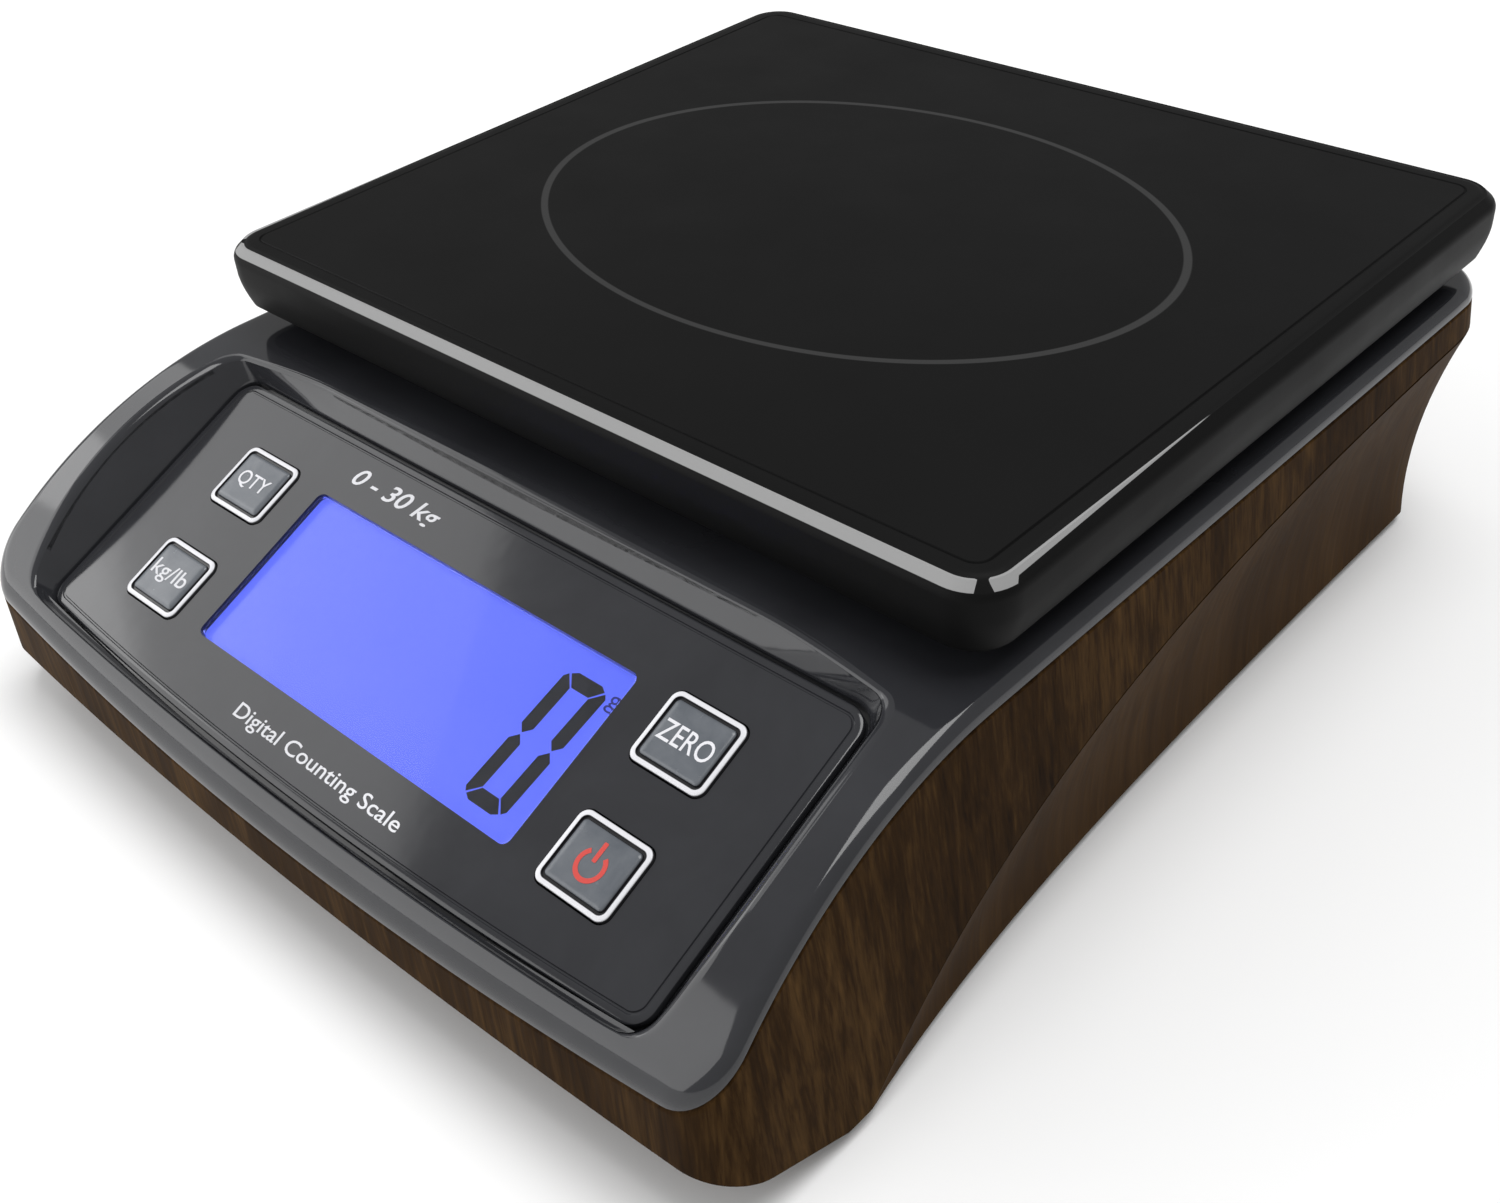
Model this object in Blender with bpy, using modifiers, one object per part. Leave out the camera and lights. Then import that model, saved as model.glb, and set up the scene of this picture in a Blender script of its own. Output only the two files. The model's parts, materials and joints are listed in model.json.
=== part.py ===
"""Counting scale: a low casing in three shells with a tilted key and display panel at the
front, and a square weighing pan that stands on a load cell inside. Metres, +Z up, the front
faces -Y, and the origin is on the resting surface under the middle of the casing."""

import math

import bmesh
import bpy
import numpy as np
from mathutils import Matrix

# Overall sizes
BODY_WIDTH = 0.1846          # across the cover's edge
BODY_DEPTH = 0.2280          # middle of the bowed front to the back
DECK_HEIGHT = 0.0535         # flat top of the cover
FRONT_BOW = 0.0038           # how far the front bows out between its corners
SIDE_DRAFT = 0.122           # outward lean of the side walls per unit of drop
FRONT_CORNER = 0.009
REAR_CORNER = 0.014

HALF_WIDTH = BODY_WIDTH / 2
FRONT = -BODY_DEPTH / 2
REAR = BODY_DEPTH / 2

# Side outline of the casing
DECK_START = 0.067           # front of the casing back to where the deck turns flat
FRONT_CURVE = 0.088          # radius of the curve in front of it
STEEPEST = 0.98              # the curve stops short of upright, at this share of its radius
EDGE_DROP = 0.0026           # height of the cover's edge
EDGE_ROUND = 0.0022
TOE_Z = 0.0020
TOE_SETBACK = 0.027          # front of the casing back to the toe
TOE_LENGTH = 0.005
NOSE_LIFT = 0.0095           # how far the front edge is lifted off the toe
NOSE_TRAY = 0.0085           # height of the housing's tray in front of the toe
SIDE_HEIGHT = 0.0080         # deck down to the seam at the back
SEAM_SWEEP = 0.051           # length over which the seam climbs
FLARE = 0.23                 # how far the lower housing draws in per unit of wall height

DECK_FRONT = FRONT + DECK_START
TOE_FRONT = FRONT + TOE_SETBACK
TOE_REAR = TOE_FRONT + TOE_LENGTH
SEAM_TOP = DECK_HEIGHT - SIDE_HEIGHT

# Walls and fits
WALL = 0.0022
GAP = 0.0003                 # between touching pieces
PAST = 0.001                 # how far a cutter passes the face it cuts through
THROUGH = 0.01               # half the length of a cutter that goes right through
LIP_FIT = 0.00035
LIP_WALL = 0.0018
LIP_HEIGHT = 0.0026
LIP_ROOT = 0.0015            # how far a lip reaches back into the wall that carries it

# Panel, measured from the middle of the display along the panel
PANEL_SETBACK = 0.0321       # front of the casing back to the middle of the display
PANEL_DROP = 0.0165
PANEL_TILT = math.radians(24.0)
PANEL_MARGIN = 0.0138        # panel's side in from the cover's edge
PANEL_REAR = 0.0285
PANEL_FRONT = -0.0264
PANEL_BOW = 0.0030
PANEL_THICK = 0.0015
PANEL_CORNER = 0.0040
PANEL_GROOVE = 0.0007
WELL_FLOOR = 0.0020
WELL_RISE = 0.016
WELL_DEPTH = 0.020           # more than the well's floor lies below the cover's edge
WELL_SIDE_SPREAD = 0.62
WELL_REAR_SPREAD = 1.25
WELL_FRONT_SPREAD = 0.25

PANEL_Y = FRONT + PANEL_SETBACK
PANEL_Z = DECK_HEIGHT - PANEL_DROP
PANEL_HALF_WIDTH = HALF_WIDTH - PANEL_MARGIN

# Keys
KEY_MARGIN = 0.0149          # key's outer side in from the panel's side
KEY_SPACE = 0.0072           # key's inner side out from the window
KEY_V = 0.0112
KEY_WIDTH = 0.0152
KEY_HEIGHT = 0.0130
KEY_CORNER = 0.0018
KEY_ROUND = 0.0004
KEY_FIT = 0.0004
KEY_PROUD = 0.0008
KEY_FLANGE = 0.0014
KEY_FLANGE_THICK = 0.0010
KEY_TRAVEL = 0.0005
SWITCH_SIDE = 0.0060
SWITCH_HEIGHT = 0.0035
SWITCH_FLOOR = 0.0008
PLUNGER_RADIUS = 0.00175

KEY_X = PANEL_HALF_WIDTH - KEY_MARGIN - KEY_WIDTH / 2

# Display
WINDOW_HEIGHT = 0.0328
WINDOW_CORNER = 0.0015
GLASS_MARGIN = 0.0026
GLASS_THICK = 0.0020
BACKLIGHT_THICK = 0.0053
HOLDER_RIM = 0.0022
BOARD_THICK = 0.0016
BOARD_MARGIN = 0.0105        # board's side in from the panel's side
BOARD_HEIGHT = 0.0440

WINDOW_WIDTH = 2 * (KEY_X - KEY_WIDTH / 2 - KEY_SPACE)
BOARD_WIDTH = 2 * (PANEL_HALF_WIDTH - BOARD_MARGIN)

# Weighing pan and its support
PAN_OVERHANG = 0.0002        # pan's side out from the cover's edge
PAN_FRONT_GAP = 0.0014       # pan's front ahead of the start of the deck
PAN_REAR_GAP = 0.0016        # pan's back in from the casing's back
PAN_CLEARANCE = 0.0048       # deck up to the pan's lower edge
PAN_SKIRT = 0.0126
PAN_WALL = 0.0022
PAN_CORNER = 0.0085
PAN_LEAST_CORNER = 0.0015
PAN_EDGE = 0.0028
PAN_TAPER = 0.0015
PAN_TAPER_HEIGHT = 0.0035
STANDOFF_X = 0.052
STANDOFF_Y = 0.042
STANDOFF_RADIUS = 0.0045
STANDOFF_FLANGE = 0.0075
STANDOFF_FLANGE_THICK = 0.0020
DECK_HOLE_CLEARANCE = 0.0030
PAD_RADIUS = 0.0070
PAD_THICK = 0.0024
SOCKET_DEPTH = 0.0050
SOCKET_WALL = 0.0015
SMALL_CHAMFER = 0.0005

PAN_WIDTH = BODY_WIDTH + 2 * PAN_OVERHANG
PAN_FRONT = DECK_FRONT - PAN_FRONT_GAP
PAN_REAR = REAR - PAN_REAR_GAP
PAN_DEPTH = PAN_REAR - PAN_FRONT
PAN_Y = (PAN_FRONT + PAN_REAR) / 2
PAN_TOP = DECK_HEIGHT + PAN_CLEARANCE + PAN_SKIRT

# Load cell
CELL_LENGTH = 0.080
CELL_SIDE = 0.0127
CELL_BOSS_TOP = 0.0100
CELL_BOSS_MARGIN = 0.003
CELL_BASE_THICK = 0.0034
CELL_SPACER_THICK = 0.0030
CELL_PAD_LENGTH = 0.026      # base plate and spacer, along the cell
CELL_SCREW_PITCH = 0.015
CELL_SCREW_INSET = 0.005
CELL_SCREW_RADIUS = 0.0020
CELL_SCREW_SHORT = 0.003     # the screws end this far inside the cell
CELL_HEAD_RADIUS = 0.0035
CELL_HEAD_THICK = 0.0028
CELL_HEAD_SUNK = 0.0006      # head up from the underside
CELL_FLEX_RADIUS = 0.0042
CELL_FLEX_SPAN = 0.015
CELL_SLOT = 0.002
BRACKET_THICK = 0.0025
BRACKET_ARM = 0.018
BRACKET_END = 0.002
WELD_STEP = 0.00001          # one plate stands proud of the other by this, so they join

# Screws of the casing
CASE_SCREW_RADIUS = 0.0014
CASE_SCREW_POINT = 0.0015
CASE_HEAD_RADIUS = 0.0028
CASE_HEAD_THICK = 0.0020
CASE_HEAD_SUNK = 0.0010      # head up from the underside
CASE_BOSS_RADIUS = 0.0042
CASE_BOSS_TOP = 0.0200
CASE_SCREW_LENGTH = 0.022
CASE_PILOT_SPARE = 0.003
CASE_SCREW_FRONT = 0.0760    # front screws back from the front
CASE_SCREW_REAR = 0.0400     # rear screws in from the back
CASE_SCREW_FRONT_SIDE = 0.0123
CASE_SCREW_REAR_SIDE = 0.0148
BOARD_SCREW_RADIUS = 0.0011
BOARD_SCREW_LENGTH = 0.0052
BOARD_SCREW_POINT = 0.0006
BOARD_HEAD_RADIUS = 0.0024
BOARD_HEAD_THICK = 0.0014
BOARD_BOSS_RADIUS = 0.0030
SCREW_CLEARANCE = 0.0004
HEAD_SIDE = 0.6              # straight part of a screw head, as a share of its height

CASE_SCREWS = ((HALF_WIDTH - CASE_SCREW_FRONT_SIDE, FRONT + CASE_SCREW_FRONT),
               (HALF_WIDTH - CASE_SCREW_REAR_SIDE, REAR - CASE_SCREW_REAR))

# Feet
FOOT_RADIUS = 0.0080
FOOT_SIDE = 0.0243           # feet in from the cover's edge
FOOT_FRONT = 0.0440          # front feet back from the front
FOOT_REAR = 0.0240           # rear feet in from the back

# Battery compartment, four AA cells side by side
CELL_AA_RADIUS = 0.00725
CELL_AA_LENGTH = 0.0492
CELL_AA_PITCH = 0.0149
CAP_RADIUS = 0.0027
CAP_LENGTH = 0.0013
POCKET_WALL = 0.0016
POCKET_SIDE = 0.0138         # pocket's outer side in from the cover's edge
POCKET_FRONT_GAP = 0.0260    # pocket's front ahead of the pan's middle
POCKET_END_ROOM = 0.0045
POCKET_SIDE_ROOM = 0.0004
DOOR_THICK = 0.0020
DOOR_FIT = 0.0006
DOOR_ROOM = 0.0010           # between the door and the cells
DOOR_PIVOT_INSET = 0.0012
CONTACT_THICK = 0.0005
CONTACT_HALF = 0.0055
CONTACT_BUMP_RADIUS = 0.0022

POCKET_LEFT = -(HALF_WIDTH - POCKET_SIDE)
POCKET_FRONT = PAN_Y - POCKET_FRONT_GAP

# Power inlet at the back
JACK_SIDE = 0.0423           # inlet in from the cover's edge
JACK_Z = 0.0110
JACK_WIDTH = 0.0090
JACK_HEIGHT = 0.0110
JACK_LENGTH = 0.0110
JACK_NECK_RADIUS = 0.0038
JACK_NECK_PROUD = 0.0008
JACK_BORE_RADIUS = 0.00275
JACK_BORE_DEPTH = 0.0090
LEAD_RADIUS = 0.0012
LEAD_RISE = 0.1              # share of its climb that the lead makes before it leaves the floor

JACK_X = HALF_WIDTH - JACK_SIDE

# Resolution of the shells
FRONT_STEPS = 7
CORNER_STEPS = 5
SIDE_STEPS = 12
WALL_ROWS = 4
BOW_STEPS = 6
BOW_START = 0.07             # first point of a bowed edge, as a share of its half
STATION_POWER = 1.5          # crowds the points of the side towards the toe
TOE_STEP = 0.0025            # first point behind the toe


# ---------------------------------------------------------------- scene and materials
def clear_scene():
    for item in list(bpy.data.objects):
        bpy.data.objects.remove(item, do_unlink=True)


def new_collection(name):
    made = bpy.data.collections.new(name)
    bpy.context.scene.collection.children.link(made)
    return made


def finish(name, color, roughness, metallic=0.0):
    made = bpy.data.materials.new(name)
    made.use_nodes = True
    shader = made.node_tree.nodes["Principled BSDF"]
    shader.inputs["Base Color"].default_value = (*color, 1.0)
    shader.inputs["Roughness"].default_value = roughness
    shader.inputs["Metallic"].default_value = metallic
    return made


def place(name, mesh, material=None, parent=None):
    """A part when it has a material, and a cutter when it has none."""
    made = bpy.data.objects.new(name, mesh)
    if material is None:
        CUTTERS.objects.link(made)
        made.hide_render = True
        made.display_type = "WIRE"
    else:
        PARTS.objects.link(made)
        mesh.materials.clear()
        mesh.materials.append(material)
        mesh.shade_smooth()
        mesh.set_sharp_from_angle(angle=math.radians(35))
    made.parent = parent
    return made


def mesh_from(name, shape):
    bmesh.ops.recalc_face_normals(shape, faces=shape.faces)
    mesh = bpy.data.meshes.new(name)
    shape.to_mesh(mesh)
    shape.free()
    return mesh


def combine(target, tool, operation="DIFFERENCE"):
    step = target.modifiers.new(operation.title() + " " + tool.name, "BOOLEAN")
    step.operation = operation
    step.solver = "EXACT"
    step.object = tool
    return target


# ---------------------------------------------------------------- plain shapes
def box(name, low, high, material=None, parent=None):
    shape = bmesh.new()
    size = [high[axis] - low[axis] for axis in range(3)]
    middle = [(high[axis] + low[axis]) / 2 for axis in range(3)]
    matrix = Matrix.Translation(middle) @ Matrix.Diagonal((*size, 1.0))
    bmesh.ops.create_cube(shape, size=1.0, matrix=matrix)
    return place(name, mesh_from(name, shape), material, parent)


def disc(name, radius, low, high, x, y, material=None, parent=None, sides=24):
    shape = bmesh.new()
    matrix = Matrix.Translation((x, y, (low + high) / 2))
    bmesh.ops.create_cone(shape, cap_ends=True, segments=sides, radius1=radius,
                          radius2=radius, depth=high - low, matrix=matrix)
    return place(name, mesh_from(name, shape), material, parent)


def rod(name, radius, start, length, direction, material=None, parent=None, sides=20):
    """A round bar from start along one of the axes X or Y."""
    shape = bmesh.new()
    turn = {"X": Matrix.Rotation(math.pi / 2, 4, "Y"), "Y": Matrix.Rotation(-math.pi / 2, 4, "X")}
    matrix = Matrix.Translation(start) @ turn[direction] @ Matrix.Translation((0, 0, length / 2))
    bmesh.ops.create_cone(shape, cap_ends=True, segments=sides, radius1=radius,
                          radius2=radius, depth=length, matrix=matrix)
    return place(name, mesh_from(name, shape), material, parent)


def turned(name, profile, x, y, material=None, parent=None, steps=24, ring=False):
    """A profile of (radius, height) points, top to bottom, turned about the vertical at x, y.
    A ring's profile closes on itself away from the axis."""
    shape = bmesh.new()
    corners = [shape.verts.new((radius, 0.0, height)) for radius, height in profile]
    for first, second in zip(corners, corners[1:]):
        shape.edges.new((first, second))
    if ring:
        shape.edges.new((corners[-1], corners[0]))
    mesh = bpy.data.meshes.new(name)
    shape.to_mesh(mesh)
    shape.free()
    made = place(name, mesh, material, parent)
    made.location = (x, y, 0.0)
    screw = made.modifiers.new("Screw", "SCREW")
    screw.steps = steps
    screw.render_steps = steps
    screw.use_merge_vertices = True
    screw.merge_threshold = 0.00001
    return made


def loft(name, rings, material=None, parent=None, wrap=False):
    """A closed body through rings of equal point count. A ring lists its right half and then
    its left half mirrored, so a cap is a row of flat strips from side to side."""
    shape = bmesh.new()
    rows = [[shape.verts.new(point) for point in ring] for ring in rings]
    count = len(rows[0])
    pairs = list(zip(rows, rows[1:]))
    if wrap:
        pairs.append((rows[-1], rows[0]))
    for lower, upper in pairs:
        for here in range(count):
            after = (here + 1) % count
            shape.faces.new((lower[here], lower[after], upper[after], upper[here]))
    if not wrap:
        for row in (rows[0], rows[-1]):
            for here in range(count // 2 - 1):
                other = count - 1 - here
                shape.faces.new((row[here], row[here + 1], row[other - 1], row[other]))
    return place(name, mesh_from(name, shape), material, parent)


def rounded_ring(half_width, front, rear, corner, z, bow=0.0):
    """A rounded rectangle whose front edge bows out, as a ring for loft."""
    across = np.linspace(BOW_START, 1.0, BOW_STEPS) if bow else np.array([1.0])
    across = across * (half_width - corner)
    points = [(x, front - bow * (1 - (x / half_width) ** 2)) for x in across]
    angles = np.linspace(-math.pi / 2, 0, CORNER_STEPS)[1:]
    points += [(half_width - corner * (1 - math.cos(turn)), front + corner * (1 + math.sin(turn)))
               for turn in angles]
    angles = np.linspace(0, math.pi / 2, CORNER_STEPS)
    points += [(half_width - corner * (1 - math.cos(turn)), rear - corner * (1 - math.sin(turn)))
               for turn in angles]
    mirrored = [(-x, y) for x, y in reversed(points)]
    return [(x, y, z) for x, y in points + mirrored]


def rounded_plate(name, half_width, front, rear, corner, low, high, material=None, parent=None):
    rings = [rounded_ring(half_width, front, rear, corner, z) for z in (low, high)]
    return loft(name, rings, material, parent)


# ---------------------------------------------------------------- lines of the casing
def top_line(y):
    """Height of the cover: flat, then an arc of radius FRONT_CURVE down to the front."""
    along = np.clip(DECK_FRONT - y, 0.0, FRONT_CURVE * STEEPEST)
    return DECK_HEIGHT - (FRONT_CURVE - np.sqrt(FRONT_CURVE ** 2 - along ** 2))


def edge_line(y):
    """Lower edge of the cover, where the side body starts."""
    return top_line(y) - EDGE_DROP


def under_line(y):
    """Underside of the casing: flat, and rising in front of the toe."""
    ahead = np.clip(TOE_FRONT - y, 0.0, None) / (TOE_FRONT - FRONT)
    return TOE_Z + NOSE_LIFT * ahead


def seam_line(y):
    """Lower edge of the side body. Behind the toe it climbs, steeply and then ever less."""
    behind = np.clip(y - TOE_REAR, 0.0, None)
    climb = (SEAM_TOP - TOE_Z) * (1 - np.exp(-behind / SEAM_SWEEP))
    return under_line(y) + climb


def half_outline(inset):
    """Right half of the casing's plan outline, front to back, drawn in by inset, which is one
    number or one number for each point."""
    count = FRONT_STEPS + 2 * CORNER_STEPS + SIDE_STEPS + 1
    inset = np.broadcast_to(np.asarray(inset, dtype=float), (count,))
    slope = 2 * FRONT_BOW * (HALF_WIDTH - FRONT_CORNER) / HALF_WIDTH ** 2
    front_end = HALF_WIDTH - FRONT_CORNER * (1 - math.sin(slope))
    base = np.linspace(BOW_START, 1.0, FRONT_STEPS) * front_end
    depth = inset[:FRONT_STEPS]
    front_x = base * (HALF_WIDTH - depth) / HALF_WIDTH
    front_y = FRONT + FRONT_BOW * (base / HALF_WIDTH) ** 2 + depth
    corner_y = FRONT + FRONT_BOW * (front_end / HALF_WIDTH) ** 2 + FRONT_CORNER * math.cos(slope)
    turn = np.linspace(slope - math.pi / 2, 0, CORNER_STEPS + 1)[1:]
    radius = FRONT_CORNER - inset[FRONT_STEPS:FRONT_STEPS + CORNER_STEPS]
    corner_x = HALF_WIDTH - FRONT_CORNER + radius * np.cos(turn)
    corner_front_y = corner_y + radius * np.sin(turn)
    stations = side_stations()
    first = FRONT_STEPS + CORNER_STEPS
    side_x = HALF_WIDTH - inset[first:first + SIDE_STEPS + 1]
    turn = np.linspace(0, math.pi / 2, CORNER_STEPS + 1)[1:]
    radius = REAR_CORNER - inset[first + SIDE_STEPS + 1:]
    rear_x = HALF_WIDTH - REAR_CORNER + radius * np.cos(turn)
    rear_y = REAR - REAR_CORNER + radius * np.sin(turn)
    return np.concatenate([np.column_stack([front_x, front_y]),
                           np.column_stack([corner_x, corner_front_y]),
                           np.column_stack([side_x, stations]),
                           np.column_stack([rear_x, rear_y])])


def side_stations():
    """Points along the straight side, closer together just behind the toe."""
    share = np.linspace(0, 1, SIDE_STEPS - 1)[1:]
    behind = TOE_REAR + (REAR - REAR_CORNER - TOE_REAR) * share ** STATION_POWER
    return np.concatenate([[TOE_FRONT, TOE_REAR, TOE_REAR + TOE_STEP], behind])


def body_ring(inset, height, chosen=slice(None)):
    """A ring of the casing: the outline drawn in by inset and leaned out by the draft of the
    sides. Its height is a function of y, or one number for each point of the half outline."""
    half = half_outline(inset)
    z = height(half[:, 1]) if callable(height) else height
    x = half[:, 0] * (1 + SIDE_DRAFT * (DECK_HEIGHT - z) / HALF_WIDTH)
    right = np.column_stack([x, half[:, 1], z])[chosen]
    left = right[::-1] * np.array([-1.0, 1.0, 1.0])
    return np.concatenate([right, left])


# ---------------------------------------------------------------- casing
def make_top_cover(panel):
    lip = WALL + LIP_FIT
    bend = 1 - math.sqrt(0.5)
    skin = [body_ring(0.0, edge_line),
            body_ring(0.0, lambda y: top_line(y) - EDGE_ROUND),
            body_ring(EDGE_ROUND * bend, lambda y: top_line(y) - EDGE_ROUND * bend),
            body_ring(EDGE_ROUND, top_line)]
    cover = loft("top_cover", skin, GLOSS_BLACK)
    rings = [body_ring(lip, lambda y: edge_line(y) - LIP_HEIGHT),
             body_ring(lip, lambda y: edge_line(y) + EDGE_DROP / 2)]
    combine(cover, loft("cover_lip", rings), "UNION")
    inside = lip + LIP_WALL
    rings = [body_ring(inside + GAP, lambda y: edge_line(y) - WELL_DEPTH + GAP),
             body_ring(inside + GAP, lambda y: edge_line(y) + EDGE_DROP / 2)]
    combine(cover, loft("well_stock", rings), "UNION")
    rings = [body_ring(inside, lambda y: edge_line(y) - WELL_DEPTH),
             body_ring(inside, lambda y: top_line(y) - WALL)]
    cavity = loft("cover_cavity", rings)
    combine(cavity, well_block(panel))
    combine(cover, cavity)
    combine(cover, well_cutter(panel))
    combine(cover, well_openings(panel))
    for number, (x, y) in enumerate(case_screw_places()):
        boss_low = CASE_BOSS_TOP + GAP
        roof = top_line(np.array(y)) - WALL / 2
        boss = disc(f"cover_boss_{number}", CASE_BOSS_RADIUS, boss_low, float(roof), x, y, sides=20)
        combine(cover, boss, "UNION")
        pilot = disc(f"cover_pilot_{number}", CASE_SCREW_RADIUS + GAP, boss_low - PAST,
                     TOE_Z + CASE_SCREW_LENGTH + CASE_PILOT_SPARE, x, y, sides=16)
        combine(cover, pilot)
    for number, (x, y) in enumerate(standoff_places()):
        hole = disc(f"deck_hole_{number}", STANDOFF_RADIUS + DECK_HOLE_CLEARANCE,
                    DECK_HEIGHT - THROUGH, DECK_HEIGHT + THROUGH, x, y)
        combine(cover, hole)
    for number, (x, v) in enumerate(board_screw_places()):
        boss = disc(f"board_boss_{number}", BOARD_BOSS_RADIUS, board_top() + GAP,
                    -PANEL_THICK - WELL_FLOOR, x, v, parent=panel, sides=16)
        combine(cover, boss, "UNION")
        pilot = disc(f"board_pilot_{number}", BOARD_SCREW_RADIUS + GAP, board_top() - PAST,
                     -PANEL_THICK - WELL_FLOOR, x, v, parent=panel, sides=12)
        combine(cover, pilot)
    return cover


def well_ring(grow, z, spread=0.0):
    return rounded_ring(PANEL_HALF_WIDTH + grow + spread * WELL_SIDE_SPREAD,
                        PANEL_FRONT - grow - spread * WELL_FRONT_SPREAD,
                        PANEL_REAR + grow + spread * WELL_REAR_SPREAD,
                        PANEL_CORNER + grow, z, bow=PANEL_BOW)


def well_block(panel):
    """Walls and floor that carry the panel, kept out of the cover's cavity."""
    floor = -PANEL_THICK - GAP
    wall = PANEL_GROOVE + WALL
    rings = [well_ring(wall, floor - WELL_FLOOR), well_ring(wall, floor),
             well_ring(wall, floor + WELL_RISE, spread=WELL_RISE)]
    return loft("well_block", rings, parent=panel)


def well_cutter(panel):
    floor = -PANEL_THICK - GAP
    rings = [well_ring(PANEL_GROOVE, floor),
             well_ring(PANEL_GROOVE, floor + PANEL_THICK),
             well_ring(PANEL_GROOVE, floor + WELL_RISE, spread=WELL_RISE - PANEL_THICK)]
    return loft("well_cutter", rings, parent=panel)


def well_openings(panel):
    """Openings through the well's floor for the display and the four keys."""
    low = floor_under() - PAST
    high = -PANEL_THICK + PAST
    margin = GLASS_MARGIN + GAP
    opening = rounded_plate("display_opening", WINDOW_WIDTH / 2 + margin,
                            -WINDOW_HEIGHT / 2 - margin, WINDOW_HEIGHT / 2 + margin,
                            GAP, low, high, parent=panel)
    for name, x, v in key_places():
        hole = rounded_plate("key_opening_" + name, KEY_WIDTH / 2 + KEY_FIT,
                             v - KEY_HEIGHT / 2 - KEY_FIT, v + KEY_HEIGHT / 2 + KEY_FIT,
                             KEY_CORNER, low, high, parent=panel)
        hole.location.x = x
        combine(opening, hole, "UNION")
    return opening


def make_side_body():
    rings = [body_ring(0.0, seam_line), body_ring(0.0, lambda y: edge_line(y) - GAP),
             body_ring(WALL, lambda y: edge_line(y) - GAP), body_ring(WALL, seam_line)]
    return loft("side_body", rings, WALNUT, wrap=True)


def housing_wall_rings():
    """Rows of the lower housing behind the toe. The foot of the wall draws in by FLARE times
    the wall's height, and the wall sweeps out to the seam in a cove."""
    chosen = slice(FRONT_STEPS + CORNER_STEPS + 2, None)
    y = half_outline(0.0)[:, 1]
    height = np.clip(seam_line(y) - TOE_Z - GAP, 0.0, None)
    rows = []
    for share in np.linspace(0, 1, WALL_ROWS + 1):
        inset = GAP + FLARE * height * (1 - share ** 2)
        rows.append((inset, TOE_Z + height * share))
    return chosen, rows


def make_lower_housing():
    chosen, rows = housing_wall_rings()
    housing = loft("lower_housing", [body_ring(inset, z, chosen) for inset, z in rows], UNDER_BROWN)
    lip = WALL + LIP_FIT
    lip_rings = [body_ring(lip, lambda y: seam_line(y) - LIP_ROOT, chosen),
                 body_ring(lip, lambda y: seam_line(y) + LIP_HEIGHT, chosen)]
    combine(housing, loft("housing_lip", lip_rings), "UNION")
    nose = slice(None, FRONT_STEPS + CORNER_STEPS + 4)
    nose_rings = [body_ring(lip, under_line, nose),
                  body_ring(lip, lambda y: under_line(y) + NOSE_TRAY, nose)]
    combine(housing, loft("nose_tray", nose_rings), "UNION")
    inner_rows = []
    for share, (inset, z) in zip(np.linspace(0, 1, WALL_ROWS + 1), rows):
        lift = WALL * (1 - share) + (LIP_HEIGHT + 2 * PAST) * share
        thick = WALL + (LIP_FIT + LIP_WALL) * share
        inner_rows.append(body_ring(inset + thick, z + lift, chosen))
    cavity = loft("housing_cavity", inner_rows)
    inside = lip + LIP_WALL
    longer = slice(None, FRONT_STEPS + CORNER_STEPS + 5)
    nose_inner = [body_ring(inside, lambda y: under_line(y) + WALL, longer),
                  body_ring(inside, lambda y: under_line(y) + 2 * THROUGH, longer)]
    combine(cavity, loft("nose_cavity", nose_inner), "UNION")
    combine(housing, cavity)
    add_housing_bosses(housing)
    add_pocket(housing)
    add_jack_opening(housing)
    return housing


def add_housing_bosses(housing):
    floor = TOE_Z + WALL / 2
    for number, (x, y) in enumerate(case_screw_places()):
        boss = disc(f"housing_boss_{number}", CASE_BOSS_RADIUS, floor, CASE_BOSS_TOP, x, y, sides=20)
        combine(housing, boss, "UNION")
        head_room = disc(f"head_room_{number}", CASE_HEAD_RADIUS + SCREW_CLEARANCE, TOE_Z - PAST,
                         case_head_top() + GAP, x, y, sides=20)
        combine(housing, head_room)
        hole = disc(f"case_hole_{number}", CASE_SCREW_RADIUS + SCREW_CLEARANCE, TOE_Z,
                    CASE_BOSS_TOP + PAST, x, y, sides=16)
        combine(housing, hole)
    half = CELL_SIDE / 2 + CELL_BOSS_MARGIN
    end = PAN_Y + CELL_LENGTH / 2
    boss = box("cell_boss", (-half, end - CELL_PAD_LENGTH - CELL_BOSS_MARGIN, floor),
               (half, end + CELL_BOSS_MARGIN, CELL_BOSS_TOP))
    combine(housing, boss, "UNION")
    for number, y in enumerate(fixed_screw_ys()):
        room = disc(f"cell_head_room_{number}", CELL_HEAD_RADIUS + SCREW_CLEARANCE, TOE_Z - PAST,
                    fixed_head_top() + GAP, 0.0, y, sides=20)
        combine(housing, room)
        hole = disc(f"cell_boss_hole_{number}", CELL_SCREW_RADIUS + SCREW_CLEARANCE, TOE_Z,
                    CELL_BOSS_TOP + PAST, 0.0, y, sides=16)
        combine(housing, hole)


def case_screw_places():
    return [(side * x, y) for x, y in CASE_SCREWS for side in (-1, 1)]


def case_head_top():
    return TOE_Z + CASE_HEAD_SUNK + CASE_HEAD_THICK


def fixed_head_top():
    return TOE_Z + CELL_HEAD_SUNK + CELL_HEAD_THICK


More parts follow.
